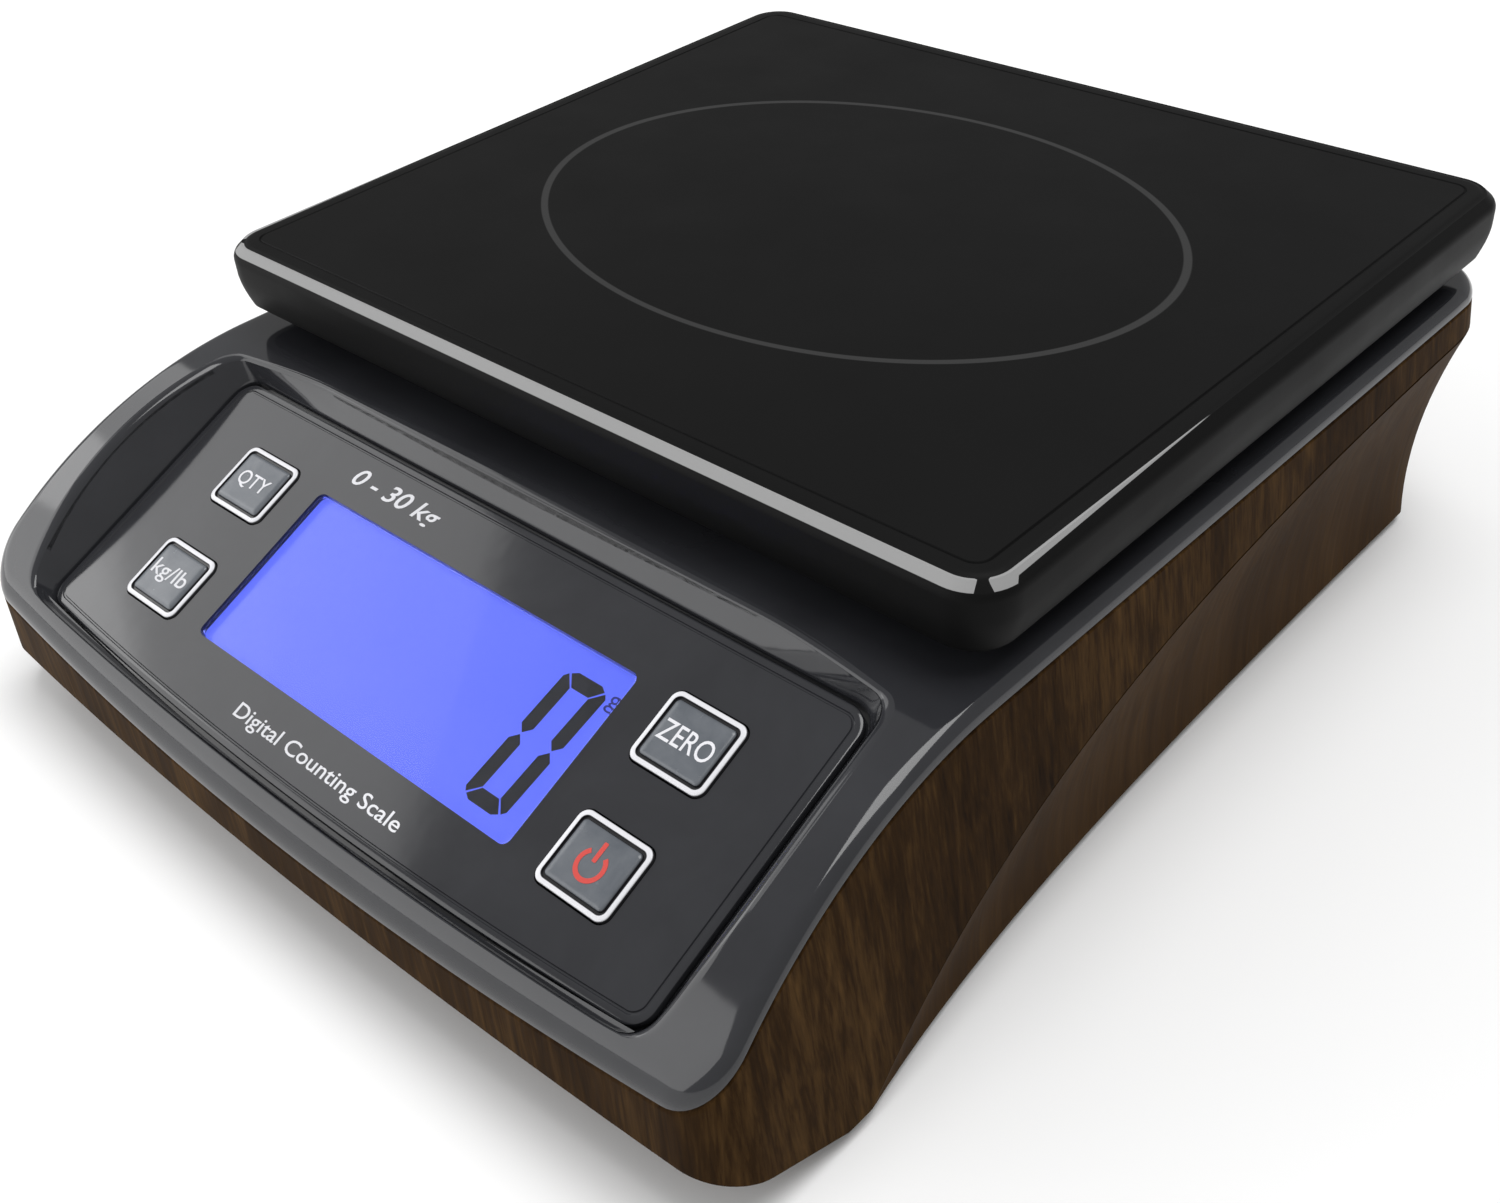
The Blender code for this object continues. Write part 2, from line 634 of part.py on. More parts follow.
def make_case_screws():
    low = case_head_top() - CASE_HEAD_THICK
    names = ("front_left", "front_right", "rear_left", "rear_right")
    for name, (x, y) in zip(names, case_screw_places()):
        profile = [(0.0, low + CASE_SCREW_LENGTH), (CASE_SCREW_RADIUS / 2, low + CASE_SCREW_LENGTH),
                   (CASE_SCREW_RADIUS, low + CASE_SCREW_LENGTH - CASE_SCREW_POINT),
                   (CASE_SCREW_RADIUS, low + CASE_HEAD_THICK),
                   (CASE_HEAD_RADIUS, low + CASE_HEAD_THICK * HEAD_SIDE), (CASE_HEAD_RADIUS, low), (0.0, low)]
        turned("case_screw_" + name, profile, x, y, STEEL, steps=12)


def make_feet():
    for name, x, y in foot_places():
        profile = [(0.0, TOE_Z - GAP), (FOOT_RADIUS, TOE_Z - GAP), (FOOT_RADIUS, SMALL_CHAMFER),
                   (FOOT_RADIUS - SMALL_CHAMFER, 0.0), (0.0, 0.0)]
        turned("foot_" + name, profile, x, y, RUBBER, steps=20)


def foot_places():
    x = HALF_WIDTH - FOOT_SIDE
    front, rear = FRONT + FOOT_FRONT, REAR - FOOT_REAR
    return [("front_left", -x, front), ("front_right", x, front),
            ("rear_left", -x, rear), ("rear_right", x, rear)]


# ---------------------------------------------------------------- panel, display and keys
def key_places():
    return [("count", -KEY_X, KEY_V), ("unit", -KEY_X, -KEY_V),
            ("zero", KEY_X, KEY_V), ("power", KEY_X, -KEY_V)]


def board_screw_places():
    """Between the two keys on each side."""
    return [(-KEY_X, 0.0), (KEY_X, 0.0)]


def glass_top():
    """The display glass lies right under the window, in its opening in the well's floor."""
    return -PANEL_THICK - GAP


def floor_under():
    """Just below the well's floor, where the key flanges and the display's holder seat."""
    return -PANEL_THICK - WELL_FLOOR - 2 * GAP


def board_top():
    return glass_top() - GLASS_THICK - BACKLIGHT_THICK - 2 * GAP


def make_display_panel(panel):
    rings = [well_ring(0.0, -PANEL_THICK), well_ring(0.0, 0.0)]
    plate = loft("display_panel", rings, GLOSS_BLACK, panel)
    hole = rounded_plate("window_opening", WINDOW_WIDTH / 2, -WINDOW_HEIGHT / 2, WINDOW_HEIGHT / 2,
                         WINDOW_CORNER, -THROUGH, THROUGH, parent=panel)
    for name, x, v in key_places():
        opening = rounded_plate("panel_key_hole_" + name, KEY_WIDTH / 2 + KEY_FIT,
                                v - KEY_HEIGHT / 2 - KEY_FIT, v + KEY_HEIGHT / 2 + KEY_FIT,
                                KEY_CORNER + KEY_FIT, -THROUGH, THROUGH, parent=panel)
        opening.location.x = x
        combine(hole, opening, "UNION")
    combine(plate, hole)


def make_display(panel):
    half, tall = WINDOW_WIDTH / 2, WINDOW_HEIGHT / 2
    rounded_plate("display_window", half - GAP, -tall + GAP, tall - GAP, WINDOW_CORNER,
                  -PANEL_THICK, -GAP / 2, CLEAR, panel)
    wide, high = half + GLASS_MARGIN, tall + GLASS_MARGIN
    top = glass_top()
    box("lcd_glass", (-wide, -high, top - GLASS_THICK), (wide, high, top), LCD, panel)
    light_top = top - GLASS_THICK - GAP
    box("backlight", (-wide, -high, light_top - BACKLIGHT_THICK), (wide, high, light_top),
        LIGHT_GUIDE, panel)
    inner_x, inner_v = wide + GAP, high + GAP
    holder = box("lcd_holder", (-inner_x - HOLDER_RIM, -inner_v - HOLDER_RIM, board_top() + GAP),
                 (inner_x + HOLDER_RIM, inner_v + HOLDER_RIM, floor_under()), WHITE_PLASTIC, panel)
    room = box("holder_room", (-inner_x, -inner_v, board_top() - PAST),
               (inner_x, inner_v, floor_under() + PAST), parent=panel)
    combine(holder, room)
    board = box("display_board", (-BOARD_WIDTH / 2, -BOARD_HEIGHT / 2, board_top() - BOARD_THICK),
                (BOARD_WIDTH / 2, BOARD_HEIGHT / 2, board_top()), BOARD_GREEN, panel)
    low = board_top() - BOARD_THICK
    names = ("left", "right")
    for name, (x, v) in zip(names, board_screw_places()):
        hole = disc("board_hole_" + name, BOARD_SCREW_RADIUS + SCREW_CLEARANCE, low - PAST,
                    board_top() + PAST, x, v, parent=panel, sides=16)
        combine(board, hole)
        head = low - GAP
        tip = head + BOARD_SCREW_LENGTH
        profile = [(0.0, tip), (BOARD_SCREW_RADIUS, tip - BOARD_SCREW_POINT),
                   (BOARD_SCREW_RADIUS, head), (BOARD_HEAD_RADIUS, head),
                   (BOARD_HEAD_RADIUS, head - BOARD_HEAD_THICK * HEAD_SIDE),
                   (BOARD_HEAD_RADIUS * HEAD_SIDE, head - BOARD_HEAD_THICK), (0.0, head - BOARD_HEAD_THICK)]
        turned("board_screw_" + name, profile, x, v, STEEL, panel, steps=12)


def make_keys(panel):
    for name, x, v in key_places():
        half, tall = KEY_WIDTH / 2, KEY_HEIGHT / 2
        skirt = floor_under()
        rings = [rounded_ring(half + KEY_FLANGE, -tall - KEY_FLANGE, tall + KEY_FLANGE,
                              KEY_CORNER + KEY_FLANGE, skirt - KEY_FLANGE_THICK),
                 rounded_ring(half + KEY_FLANGE, -tall - KEY_FLANGE, tall + KEY_FLANGE,
                              KEY_CORNER + KEY_FLANGE, skirt),
                 rounded_ring(half, -tall, tall, KEY_CORNER, skirt),
                 rounded_ring(half, -tall, tall, KEY_CORNER, KEY_PROUD - KEY_ROUND),
                 rounded_ring(half - KEY_ROUND, -tall + KEY_ROUND, tall - KEY_ROUND,
                              KEY_CORNER - KEY_ROUND, KEY_PROUD)]
        key = loft("key_" + name, rings, KEY_GREY, panel)
        key.location = (x, v, 0.0)
        make_switch(name, x, v, panel)


def make_switch(name, x, v, panel):
    low = board_top() + GAP
    high = low + SWITCH_HEIGHT - 2 * GAP
    side = SWITCH_SIDE / 2
    switch = box("switch_" + name, (x - side, v - side, low), (x + side, v + side, high),
                 CHIP, panel)
    bore = disc("switch_bore_" + name, PLUNGER_RADIUS + GAP, low + SWITCH_FLOOR, high + PAST, x, v,
                parent=panel, sides=16)
    combine(switch, bore)
    top = floor_under() - KEY_FLANGE_THICK - GAP
    plunger = disc("plunger_" + name, PLUNGER_RADIUS, low + SWITCH_FLOOR + KEY_TRAVEL + GAP, top,
                   0.0, 0.0, WHITE_PLASTIC, panel, sides=16)
    plunger.location = (x, v, 0.0)


# ---------------------------------------------------------------- weighing pan and load cell
def standoff_places():
    return [(side * STANDOFF_X, PAN_Y + end * STANDOFF_Y) for end in (-1, 1) for side in (-1, 1)]


def pan_ring(inset, z):
    half = PAN_WIDTH / 2 - inset
    depth = PAN_DEPTH / 2 - inset
    corner = max(PAN_CORNER - inset, PAN_LEAST_CORNER)
    ring = rounded_ring(half, -depth, depth, corner, z)
    return [(x, y + PAN_Y, height) for x, y, height in ring]


def make_pan():
    bend = 1 - math.sqrt(0.5)
    low = PAN_TOP - PAN_SKIRT
    rings = [pan_ring(PAN_TAPER, low), pan_ring(0.0, low + PAN_TAPER_HEIGHT),
             pan_ring(0.0, PAN_TOP - PAN_EDGE),
             pan_ring(PAN_EDGE * bend, PAN_TOP - PAN_EDGE * bend), pan_ring(PAN_EDGE, PAN_TOP)]
    pan = loft("weighing_pan", rings, MATT_BLACK)
    hollow = [pan_ring(PAN_TAPER + PAN_WALL, low - PAST), pan_ring(PAN_WALL, low + PAN_TAPER_HEIGHT),
              pan_ring(PAN_WALL, PAN_TOP - PAN_EDGE), pan_ring(PAN_EDGE, PAN_TOP - PAN_WALL)]
    combine(pan, loft("pan_hollow", hollow))
    roof = PAN_TOP - PAN_WALL
    for number, (x, y) in enumerate(standoff_places()):
        inner = PAD_RADIUS + 2 * GAP
        outer = inner + SOCKET_WALL
        profile = [(outer, roof + PAST), (outer, roof - SOCKET_DEPTH),
                   (inner, roof - SOCKET_DEPTH), (inner, roof + PAST)]
        socket = turned(f"pan_socket_{number}", profile, x, y, steps=24, ring=True)
        combine(pan, socket, "UNION")


def cell_top():
    return CELL_BOSS_TOP + GAP + CELL_BASE_THICK + GAP + CELL_SIDE


def bracket_low():
    return cell_top() + GAP + CELL_SPACER_THICK + GAP


def bracket_high():
    return bracket_low() + BRACKET_THICK


def live_screw_ys():
    near = PAN_Y - CELL_LENGTH / 2 + CELL_SCREW_INSET
    return (near, near + CELL_SCREW_PITCH)


def fixed_screw_ys():
    far = PAN_Y + CELL_LENGTH / 2 - CELL_SCREW_INSET
    return (far - CELL_SCREW_PITCH, far)


def make_load_cell():
    low = cell_top() - CELL_SIDE
    half = CELL_SIDE / 2
    start, end = PAN_Y - CELL_LENGTH / 2, PAN_Y + CELL_LENGTH / 2
    cell = box("load_cell", (-half, start, low), (half, end, cell_top()), ALUMINIUM)
    middle = low + half
    for number, side in enumerate((-1, 1)):
        y = PAN_Y + side * CELL_FLEX_SPAN / 2
        hole = rod(f"flex_hole_{number}", CELL_FLEX_RADIUS, (-half - PAST, y, middle),
                   CELL_SIDE + 2 * PAST, "X")
        combine(cell, hole)
    slot = box("flex_slot", (-half - PAST, PAN_Y - CELL_FLEX_SPAN / 2, middle - CELL_SLOT / 2),
               (half + PAST, PAN_Y + CELL_FLEX_SPAN / 2, middle + CELL_SLOT / 2))
    combine(cell, slot)
    for number, y in enumerate(live_screw_ys() + fixed_screw_ys()):
        hole = disc(f"cell_hole_{number}", CELL_SCREW_RADIUS + SCREW_CLEARANCE, low - PAST,
                    cell_top() + PAST, 0.0, y, sides=16)
        combine(cell, hole)


def drilled_block(name, low, high, hole_ys, material):
    block = box(name, low, high, material)
    for number, y in enumerate(hole_ys):
        hole = disc(f"{name}_hole_{number}", CELL_SCREW_RADIUS + SCREW_CLEARANCE, low[2] - PAST,
                    high[2] + PAST, 0.0, y, sides=16)
        combine(block, hole)
    return block


def make_cell_mounting():
    half = CELL_SIDE / 2
    start, end = PAN_Y - CELL_LENGTH / 2, PAN_Y + CELL_LENGTH / 2
    low = CELL_BOSS_TOP + GAP
    drilled_block("cell_base_plate", (-half, end - CELL_PAD_LENGTH, low), (half, end, low + CELL_BASE_THICK),
                  fixed_screw_ys(), STEEL)
    low = cell_top() + GAP
    drilled_block("cell_spacer", (-half, start, low),
                  (half, start + CELL_PAD_LENGTH, low + CELL_SPACER_THICK),
                  live_screw_ys(), STEEL)
    make_bracket()
    names = ("front", "rear")
    head = fixed_head_top() - CELL_HEAD_THICK
    for name, y in zip(names, fixed_screw_ys()):
        cell_screw("fixed_screw_" + name, y, head, head + CELL_HEAD_THICK,
                   cell_top() - CELL_SCREW_SHORT, True)
    seat = bracket_high() + GAP
    for name, y in zip(names, live_screw_ys()):
        cell_screw("live_screw_" + name, y, seat, seat + CELL_HEAD_THICK,
                   cell_top() - CELL_SIDE + CELL_SCREW_SHORT, False)


def cell_screw(name, y, head_low, head_high, tip, points_up):
    """A cap screw along Z, whose head is the wide part between head_low and head_high."""
    if points_up:
        profile = [(0.0, tip), (CELL_SCREW_RADIUS, tip), (CELL_SCREW_RADIUS, head_high),
                   (CELL_HEAD_RADIUS, head_high), (CELL_HEAD_RADIUS, head_low), (0.0, head_low)]
    else:
        profile = [(0.0, head_high), (CELL_HEAD_RADIUS, head_high), (CELL_HEAD_RADIUS, head_low),
                   (CELL_SCREW_RADIUS, head_low), (CELL_SCREW_RADIUS, tip), (0.0, tip)]
    turned(name, profile, 0.0, y, STEEL, steps=12)


def make_bracket():
    """A pressed plate: a spine over the load cell and a cross bar at each end that reaches the
    standoffs."""
    low, high = bracket_low(), bracket_high()
    reach = STANDOFF_X + STANDOFF_FLANGE + BRACKET_END
    spine_end = STANDOFF_Y + BRACKET_ARM / 2
    plate = box("platform_bracket", (-BRACKET_ARM, PAN_Y - spine_end, low),
                (BRACKET_ARM, PAN_Y + spine_end, high), ZINC)
    for number, end in enumerate((-1, 1)):
        y = PAN_Y + end * STANDOFF_Y
        bar = box(f"bracket_bar_{number}", (-reach, y - BRACKET_ARM / 2, low - WELD_STEP),
                  (reach, y + BRACKET_ARM / 2, high + WELD_STEP))
        combine(plate, bar, "UNION")
    for number, y in enumerate(live_screw_ys()):
        hole = disc(f"bracket_hole_{number}", CELL_SCREW_RADIUS + SCREW_CLEARANCE, low - PAST,
                    high + PAST, 0.0, y, sides=16)
        combine(plate, hole)
    for number, y in enumerate(fixed_screw_ys()):
        hole = disc(f"bracket_access_{number}", CELL_HEAD_RADIUS + SCREW_CLEARANCE, low - PAST,
                    high + PAST, 0.0, y, sides=16)
        combine(plate, hole)


def make_standoffs():
    names = ("front_left", "front_right", "rear_left", "rear_right")
    low = bracket_high() + GAP
    roof = PAN_TOP - PAN_WALL
    high = roof - GAP - PAD_THICK - GAP
    for name, (x, y) in zip(names, standoff_places()):
        profile = [(0.0, high), (STANDOFF_RADIUS, high), (STANDOFF_RADIUS, low + STANDOFF_FLANGE_THICK),
                   (STANDOFF_FLANGE, low + STANDOFF_FLANGE_THICK), (STANDOFF_FLANGE, low), (0.0, low)]
        turned("standoff_" + name, profile, x, y, ZINC, steps=16)
        top = roof - GAP
        profile = [(0.0, top), (PAD_RADIUS - SMALL_CHAMFER, top), (PAD_RADIUS, top - SMALL_CHAMFER),
                   (PAD_RADIUS, high + GAP), (0.0, high + GAP)]
        turned("pan_pad_" + name, profile, x, y, RUBBER, steps=20)


# ---------------------------------------------------------------- batteries and power inlet
def pocket_size():
    """Left, right, front, back and roof of the room that holds the cells."""
    right = POCKET_LEFT + 4 * CELL_AA_PITCH + 2 * POCKET_SIDE_ROOM
    back = POCKET_FRONT + CELL_AA_LENGTH + 2 * POCKET_END_ROOM
    roof = battery_axis() + CELL_AA_RADIUS + 2 * GAP
    return POCKET_LEFT, right, POCKET_FRONT, back, roof


def battery_axis():
    return TOE_Z + DOOR_THICK + DOOR_ROOM + CELL_AA_RADIUS


def add_pocket(housing):
    left, right, front, back, roof = pocket_size()
    block = box("pocket_block", (left - POCKET_WALL, front - POCKET_WALL, TOE_Z + WALL / 2),
                (right + POCKET_WALL, back + POCKET_WALL, roof + POCKET_WALL))
    combine(housing, block, "UNION")
    room = box("pocket_room", (left, front, TOE_Z - PAST), (right, back, roof))
    combine(housing, room)


def make_battery_door():
    """A plate that tips down about an axis just inside its rear edge, where its origin lies."""
    left, right, front, back, _ = pocket_size()
    hinge_y = back - DOOR_FIT - DOOR_PIVOT_INSET
    half = DOOR_THICK / 2
    door = box("battery_door", (left + DOOR_FIT, front + DOOR_FIT - hinge_y, -half),
               (right - DOOR_FIT, DOOR_PIVOT_INSET, half), UNDER_BROWN)
    door.location = (0.0, hinge_y, TOE_Z + half)


def battery_places():
    first = POCKET_LEFT + POCKET_SIDE_ROOM + CELL_AA_PITCH / 2
    return [first + number * CELL_AA_PITCH for number in range(4)]


def make_batteries():
    """Every second cell is turned end for end, so its cap points to the front."""
    z = battery_axis()
    start = POCKET_FRONT + POCKET_END_ROOM
    reach = CELL_AA_LENGTH / 2 + CAP_LENGTH
    for number, x in enumerate(battery_places()):
        cell = rod(f"battery_{number + 1}", CELL_AA_RADIUS, (x, start, z), CELL_AA_LENGTH, "Y",
                   BATTERY, sides=20)
        cap_start = start + CELL_AA_LENGTH / 2 if number % 2 == 0 else start - CAP_LENGTH
        cap = rod(f"battery_cap_{number + 1}", CAP_RADIUS, (x, cap_start, z), reach, "Y", sides=12)
        combine(cell, cap, "UNION")


def make_contacts():
    """Metal strips at both ends of the cells, which join them in series."""
    for name, first, last, at_front in (("front_left", 0, 1, True), ("front_right", 2, 3, True),
                                        ("rear_plus", 0, 0, False), ("rear_middle", 1, 2, False),
                                        ("rear_minus", 3, 3, False)):
        contact_strip("contact_" + name, first, last, at_front)


def contact_strip(name, first, last, at_front):
    """A strip against the pocket's end wall, with a raised spot that meets each cell."""
    _, _, front, back, _ = pocket_size()
    places = battery_places()
    z = battery_axis()
    near = front + GAP if at_front else back - GAP - CONTACT_THICK
    strip = box(name, (places[first] - CONTACT_HALF, near, z - CONTACT_HALF),
                (places[last] + CONTACT_HALF, near + CONTACT_THICK, z + CONTACT_HALF), NICKEL)
    for number in sorted({first, last}):
        cap_here = (number % 2 == 0) != at_front
        reach = POCKET_END_ROOM - 2 * GAP - (CAP_LENGTH if cap_here else 0.0)
        base = near if at_front else near + CONTACT_THICK - reach
        bump = rod(f"{name}_bump_{number}", CONTACT_BUMP_RADIUS, (places[number], base, z), reach,
                   "Y", sides=12)
        combine(strip, bump, "UNION")


def jack_face():
    """Where the coved back wall stands at the height of the inlet, taken at its foot."""
    height = SEAM_TOP - TOE_Z
    share = (JACK_Z - TOE_Z) / height
    return REAR - GAP - FLARE * height * (1 - share ** 2)


def add_jack_opening(housing):
    hole = rod("jack_opening", JACK_NECK_RADIUS + GAP, (JACK_X, jack_face() - THROUGH, JACK_Z),
               2 * THROUGH, "Y")
    combine(housing, hole)


def make_jack():
    back = jack_face()
    inner = back - WALL - JACK_NECK_PROUD
    jack = box("dc_jack", (JACK_X - JACK_WIDTH / 2, inner - JACK_LENGTH, JACK_Z - JACK_HEIGHT / 2),
               (JACK_X + JACK_WIDTH / 2, inner, JACK_Z + JACK_HEIGHT / 2), CHIP)
    neck = rod("jack_neck", JACK_NECK_RADIUS, (JACK_X, inner - PAST, JACK_Z),
               back - inner + JACK_NECK_PROUD, "Y")
    combine(jack, neck, "UNION")
    bore = rod("jack_bore", JACK_BORE_RADIUS, (JACK_X, back - JACK_BORE_DEPTH, JACK_Z),
               2 * THROUGH, "Y")
    combine(jack, bore)


# ---------------------------------------------------------------- leads
def smooth_route(corners, count):
    """Points at even steps of a Catmull-Rom curve through the route's corners."""
    points = np.array([corners[0]] + list(corners) + [corners[-1]], dtype=float)
    out = []
    for t in np.linspace(0, len(corners) - 1.000001, count):
        first = int(t)
        share = t - first
        a, b, c, d = points[first:first + 4]
        out.append(0.5 * (2 * b + (c - a) * share + (2 * a - 5 * b + 4 * c - d) * share ** 2
                          + (3 * b - a - 3 * c + d) * share ** 3))
    return out


def lead(name, corners, count, material):
    curve = bpy.data.curves.new(name, "CURVE")
    curve.dimensions = "3D"
    curve.bevel_depth = LEAD_RADIUS
    curve.bevel_resolution = 2
    curve.use_fill_caps = True
    spline = curve.splines.new("POLY")
    route = smooth_route(corners, count)
    spline.points.add(len(route) - 1)
    for point, place_here in zip(spline.points, route):
        point.co = (*place_here, 1.0)
    made = bpy.data.objects.new(name, curve)
    curve.materials.append(material)
    PARTS.objects.link(made)


def board_corner(x, v):
    """A point just under the display board, in the frame of the whole scale."""
    down = board_top() - BOARD_THICK - LEAD_RADIUS - GAP
    y = PANEL_Y + v * math.cos(PANEL_TILT) - down * math.sin(PANEL_TILT)
    z = PANEL_Z + v * math.sin(PANEL_TILT) + down * math.cos(PANEL_TILT)
    return (x, y, z)


def make_load_cell_lead():
    floor = TOE_Z + WALL + LEAD_RADIUS + GAP
    side = CELL_SIDE / 2 + LEAD_RADIUS + GAP
    cell_mid = cell_top() - CELL_SIDE / 2
    x, y, z = board_corner(0.020, -0.006)
    behind = DECK_FRONT + 0.017
    ahead = PANEL_Y + 0.026
    route = [(side, PAN_Y + 0.004, cell_mid), (side + 0.001, PAN_Y - 0.014, cell_mid - 0.004),
             (side + 0.004, PAN_Y - 0.034, floor + 0.002), (0.016, behind, floor),
             (0.019, ahead, floor + LEAD_RISE * (z - floor)), (x, y + 0.002, z - 0.006),
             (x, y, z - 0.0005)]
    lead("load_cell_lead", route, 34, GREY_LEAD)


# ---------------------------------------------------------------- build
clear_scene()
PARTS = new_collection("counting_scale")
CUTTERS = new_collection("cutters")
GLOSS_BLACK = finish("gloss_black", (0.022, 0.023, 0.026), 0.12)
MATT_BLACK = finish("matt_black", (0.010, 0.010, 0.010), 0.35)
WALNUT = finish("walnut", (0.075, 0.040, 0.016), 0.35)
UNDER_BROWN = finish("under_brown", (0.090, 0.050, 0.022), 0.45)
KEY_GREY = finish("key_grey", (0.110, 0.120, 0.135), 0.25)
CLEAR = finish("clear_window", (0.10, 0.14, 0.75), 0.08)
LCD = finish("lcd", (0.11, 0.16, 0.85), 0.2)
LIGHT_GUIDE = finish("light_guide", (0.80, 0.82, 0.90), 0.5)
WHITE_PLASTIC = finish("white_plastic", (0.75, 0.75, 0.72), 0.5)
BOARD_GREEN = finish("board_green", (0.02, 0.16, 0.06), 0.45)
CHIP = finish("black_component", (0.015, 0.015, 0.015), 0.5)
ALUMINIUM = finish("aluminium", (0.75, 0.75, 0.76), 0.35, 1.0)
STEEL = finish("steel", (0.60, 0.60, 0.62), 0.3, 1.0)
ZINC = finish("zinc_plate", (0.66, 0.66, 0.64), 0.4, 1.0)
NICKEL = finish("nickel", (0.70, 0.68, 0.64), 0.25, 1.0)
RUBBER = finish("rubber", (0.02, 0.02, 0.02), 0.9)
BATTERY = finish("battery_sleeve", (0.10, 0.11, 0.13), 0.35)
GREY_LEAD = finish("grey_lead", (0.35, 0.35, 0.36), 0.6)

panel_frame = bpy.data.objects.new("panel_frame", None)
PARTS.objects.link(panel_frame)
panel_frame.location = (0.0, PANEL_Y, PANEL_Z)
panel_frame.rotation_euler = (PANEL_TILT, 0.0, 0.0)

make_top_cover(panel_frame)
make_side_body()
make_lower_housing()
make_case_screws()
make_feet()
make_display_panel(panel_frame)
make_display(panel_frame)
make_keys(panel_frame)
make_pan()
make_load_cell()
make_cell_mounting()
make_standoffs()
make_battery_door()
make_batteries()
make_contacts()
make_jack()
make_load_cell_lead()
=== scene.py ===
"""Finished surfaces of the counting scale. Each shell is worked out with numpy as a grid of points,
or as an outline carried along a profile, in metres, +Z up, with the display facing -Y."""
import json
import math

import bmesh
import bpy
import numpy as np
from mathutils import Matrix, Vector


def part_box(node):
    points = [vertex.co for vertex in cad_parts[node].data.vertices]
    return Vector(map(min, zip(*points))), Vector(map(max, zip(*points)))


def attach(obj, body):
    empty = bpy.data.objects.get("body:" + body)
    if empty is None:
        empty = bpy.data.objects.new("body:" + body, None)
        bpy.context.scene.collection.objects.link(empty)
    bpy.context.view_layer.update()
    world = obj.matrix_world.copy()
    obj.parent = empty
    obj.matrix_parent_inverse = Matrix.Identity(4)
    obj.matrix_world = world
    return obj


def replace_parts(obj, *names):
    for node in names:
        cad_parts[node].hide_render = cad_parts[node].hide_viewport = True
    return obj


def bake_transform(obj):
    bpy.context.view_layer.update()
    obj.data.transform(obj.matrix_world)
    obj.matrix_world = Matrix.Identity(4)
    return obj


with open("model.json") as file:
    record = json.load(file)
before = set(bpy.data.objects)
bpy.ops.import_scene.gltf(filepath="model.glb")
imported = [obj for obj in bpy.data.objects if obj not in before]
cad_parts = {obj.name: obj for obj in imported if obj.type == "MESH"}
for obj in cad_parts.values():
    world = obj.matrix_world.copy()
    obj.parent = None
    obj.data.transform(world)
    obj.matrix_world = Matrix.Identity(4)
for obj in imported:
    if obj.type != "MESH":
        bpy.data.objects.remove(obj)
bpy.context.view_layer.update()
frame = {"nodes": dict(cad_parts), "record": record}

# Casing
HALF_WIDTH = 0.0923
FRONT = -0.1140
REAR = 0.1140
DECK = 0.0535
FRONT_BOW = 0.0038
SIDE_LEAN = 0.122
FRONT_CORNER = 0.009
REAR_CORNER = 0.014
DECK_FRONT = -0.047
FRONT_CURVE = 0.088
EDGE_DROP = 0.0026
EDGE_ROUND = 0.0022
TOE_Z = 0.0020
TOE_FRONT = -0.087
TOE_REAR = -0.082
NOSE_LIFT = 0.0095
SEAM_TOP = 0.0455
SEAM_SWEEP = 0.051
FLARE = 0.23
WALL = 0.0022
GAP = 0.0003
LIP = 0.0026
LIP_FIT = 0.00035
LIP_WALL = 0.0018
SHARP_ANGLE = math.radians(38)

# Panel and the well round it
PANEL_Y = -0.0819
PANEL_Z = 0.0370
TILT = math.radians(24.0)
PANEL_HALF = 0.0785
PANEL_REAR = 0.0285
PANEL_FRONT = -0.0264
PANEL_BOW = 0.0030
PANEL_THICK = 0.0015
PANEL_CORNER = 0.0040
GROOVE = 0.0007
LEDGE = 0.0065
LEDGE_THICK = 0.0020
WELL_TALL = 0.0142
WELL_SPREAD_SIDE = 0.0145 * 0.62
WELL_SPREAD_FRONT = 0.0145 * 0.25
WELL_SPREAD_REAR = 0.0145 * 1.25
WINDOW_HALF = 0.0412
WINDOW_TALL = 0.0164
KEY_X = 0.0560
KEY_V = 0.0112
KEY_WIDTH = 0.0152
KEY_HEIGHT = 0.0130
KEYS = (("count", -KEY_X, KEY_V), ("unit", -KEY_X, -KEY_V),
        ("zero", KEY_X, KEY_V), ("power", KEY_X, -KEY_V))
KEY_TOP = 0.00080
PRINT_THICK = 0.00005
LCD_TOP = -0.0016

# Underside
CASE_SCREWS = ((0.0800, -0.0380), (-0.0800, -0.0380), (0.0775, 0.0740), (-0.0775, 0.0740))
FIXED_SCREWS = (0.052, 0.067)
LIVE_SCREWS = (-0.003, 0.012)
POCKET = (-0.0785, -0.0181, 0.0060, 0.0642, 0.0201)
POCKET_WALL = 0.0016
CELL_Z = 0.01225
CELL_RADIUS = 0.00725

# Pan
PAN_HALF = 0.0925
PAN_DEEP = 0.0804
PAN_Y = 0.0320
PAN_TOP = 0.0709
PAN_SKIRT = 0.0126
PAN_CORNER = 0.0085
RING_WIDE = 0.0676
RING_DEEP = 0.0496
DECK_HOLES = [(side * 0.052, PAN_Y + end * 0.042) for end in (-1, 1) for side in (-1, 1)]


# -------- objects and meshes
def placed(name, data):
    """A new object that holds the data, linked into the scene."""
    made = bpy.data.objects.new(name, data)
    bpy.context.scene.collection.objects.link(made)
    return made


def put(name, mesh, body, slot, material=None):
    """One finished piece: smooth faces, sharp edges kept, riding on its body if it has one. It
    takes its slot's finish unless a material is given."""
    piece = placed(name, mesh)
    mesh.materials.clear()
    mesh.materials.append(material or FINISHES[slot])
    mesh.shade_smooth()
    mesh.set_sharp_from_angle(angle=SHARP_ANGLE)
    if body:
        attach(piece, body)
    return piece


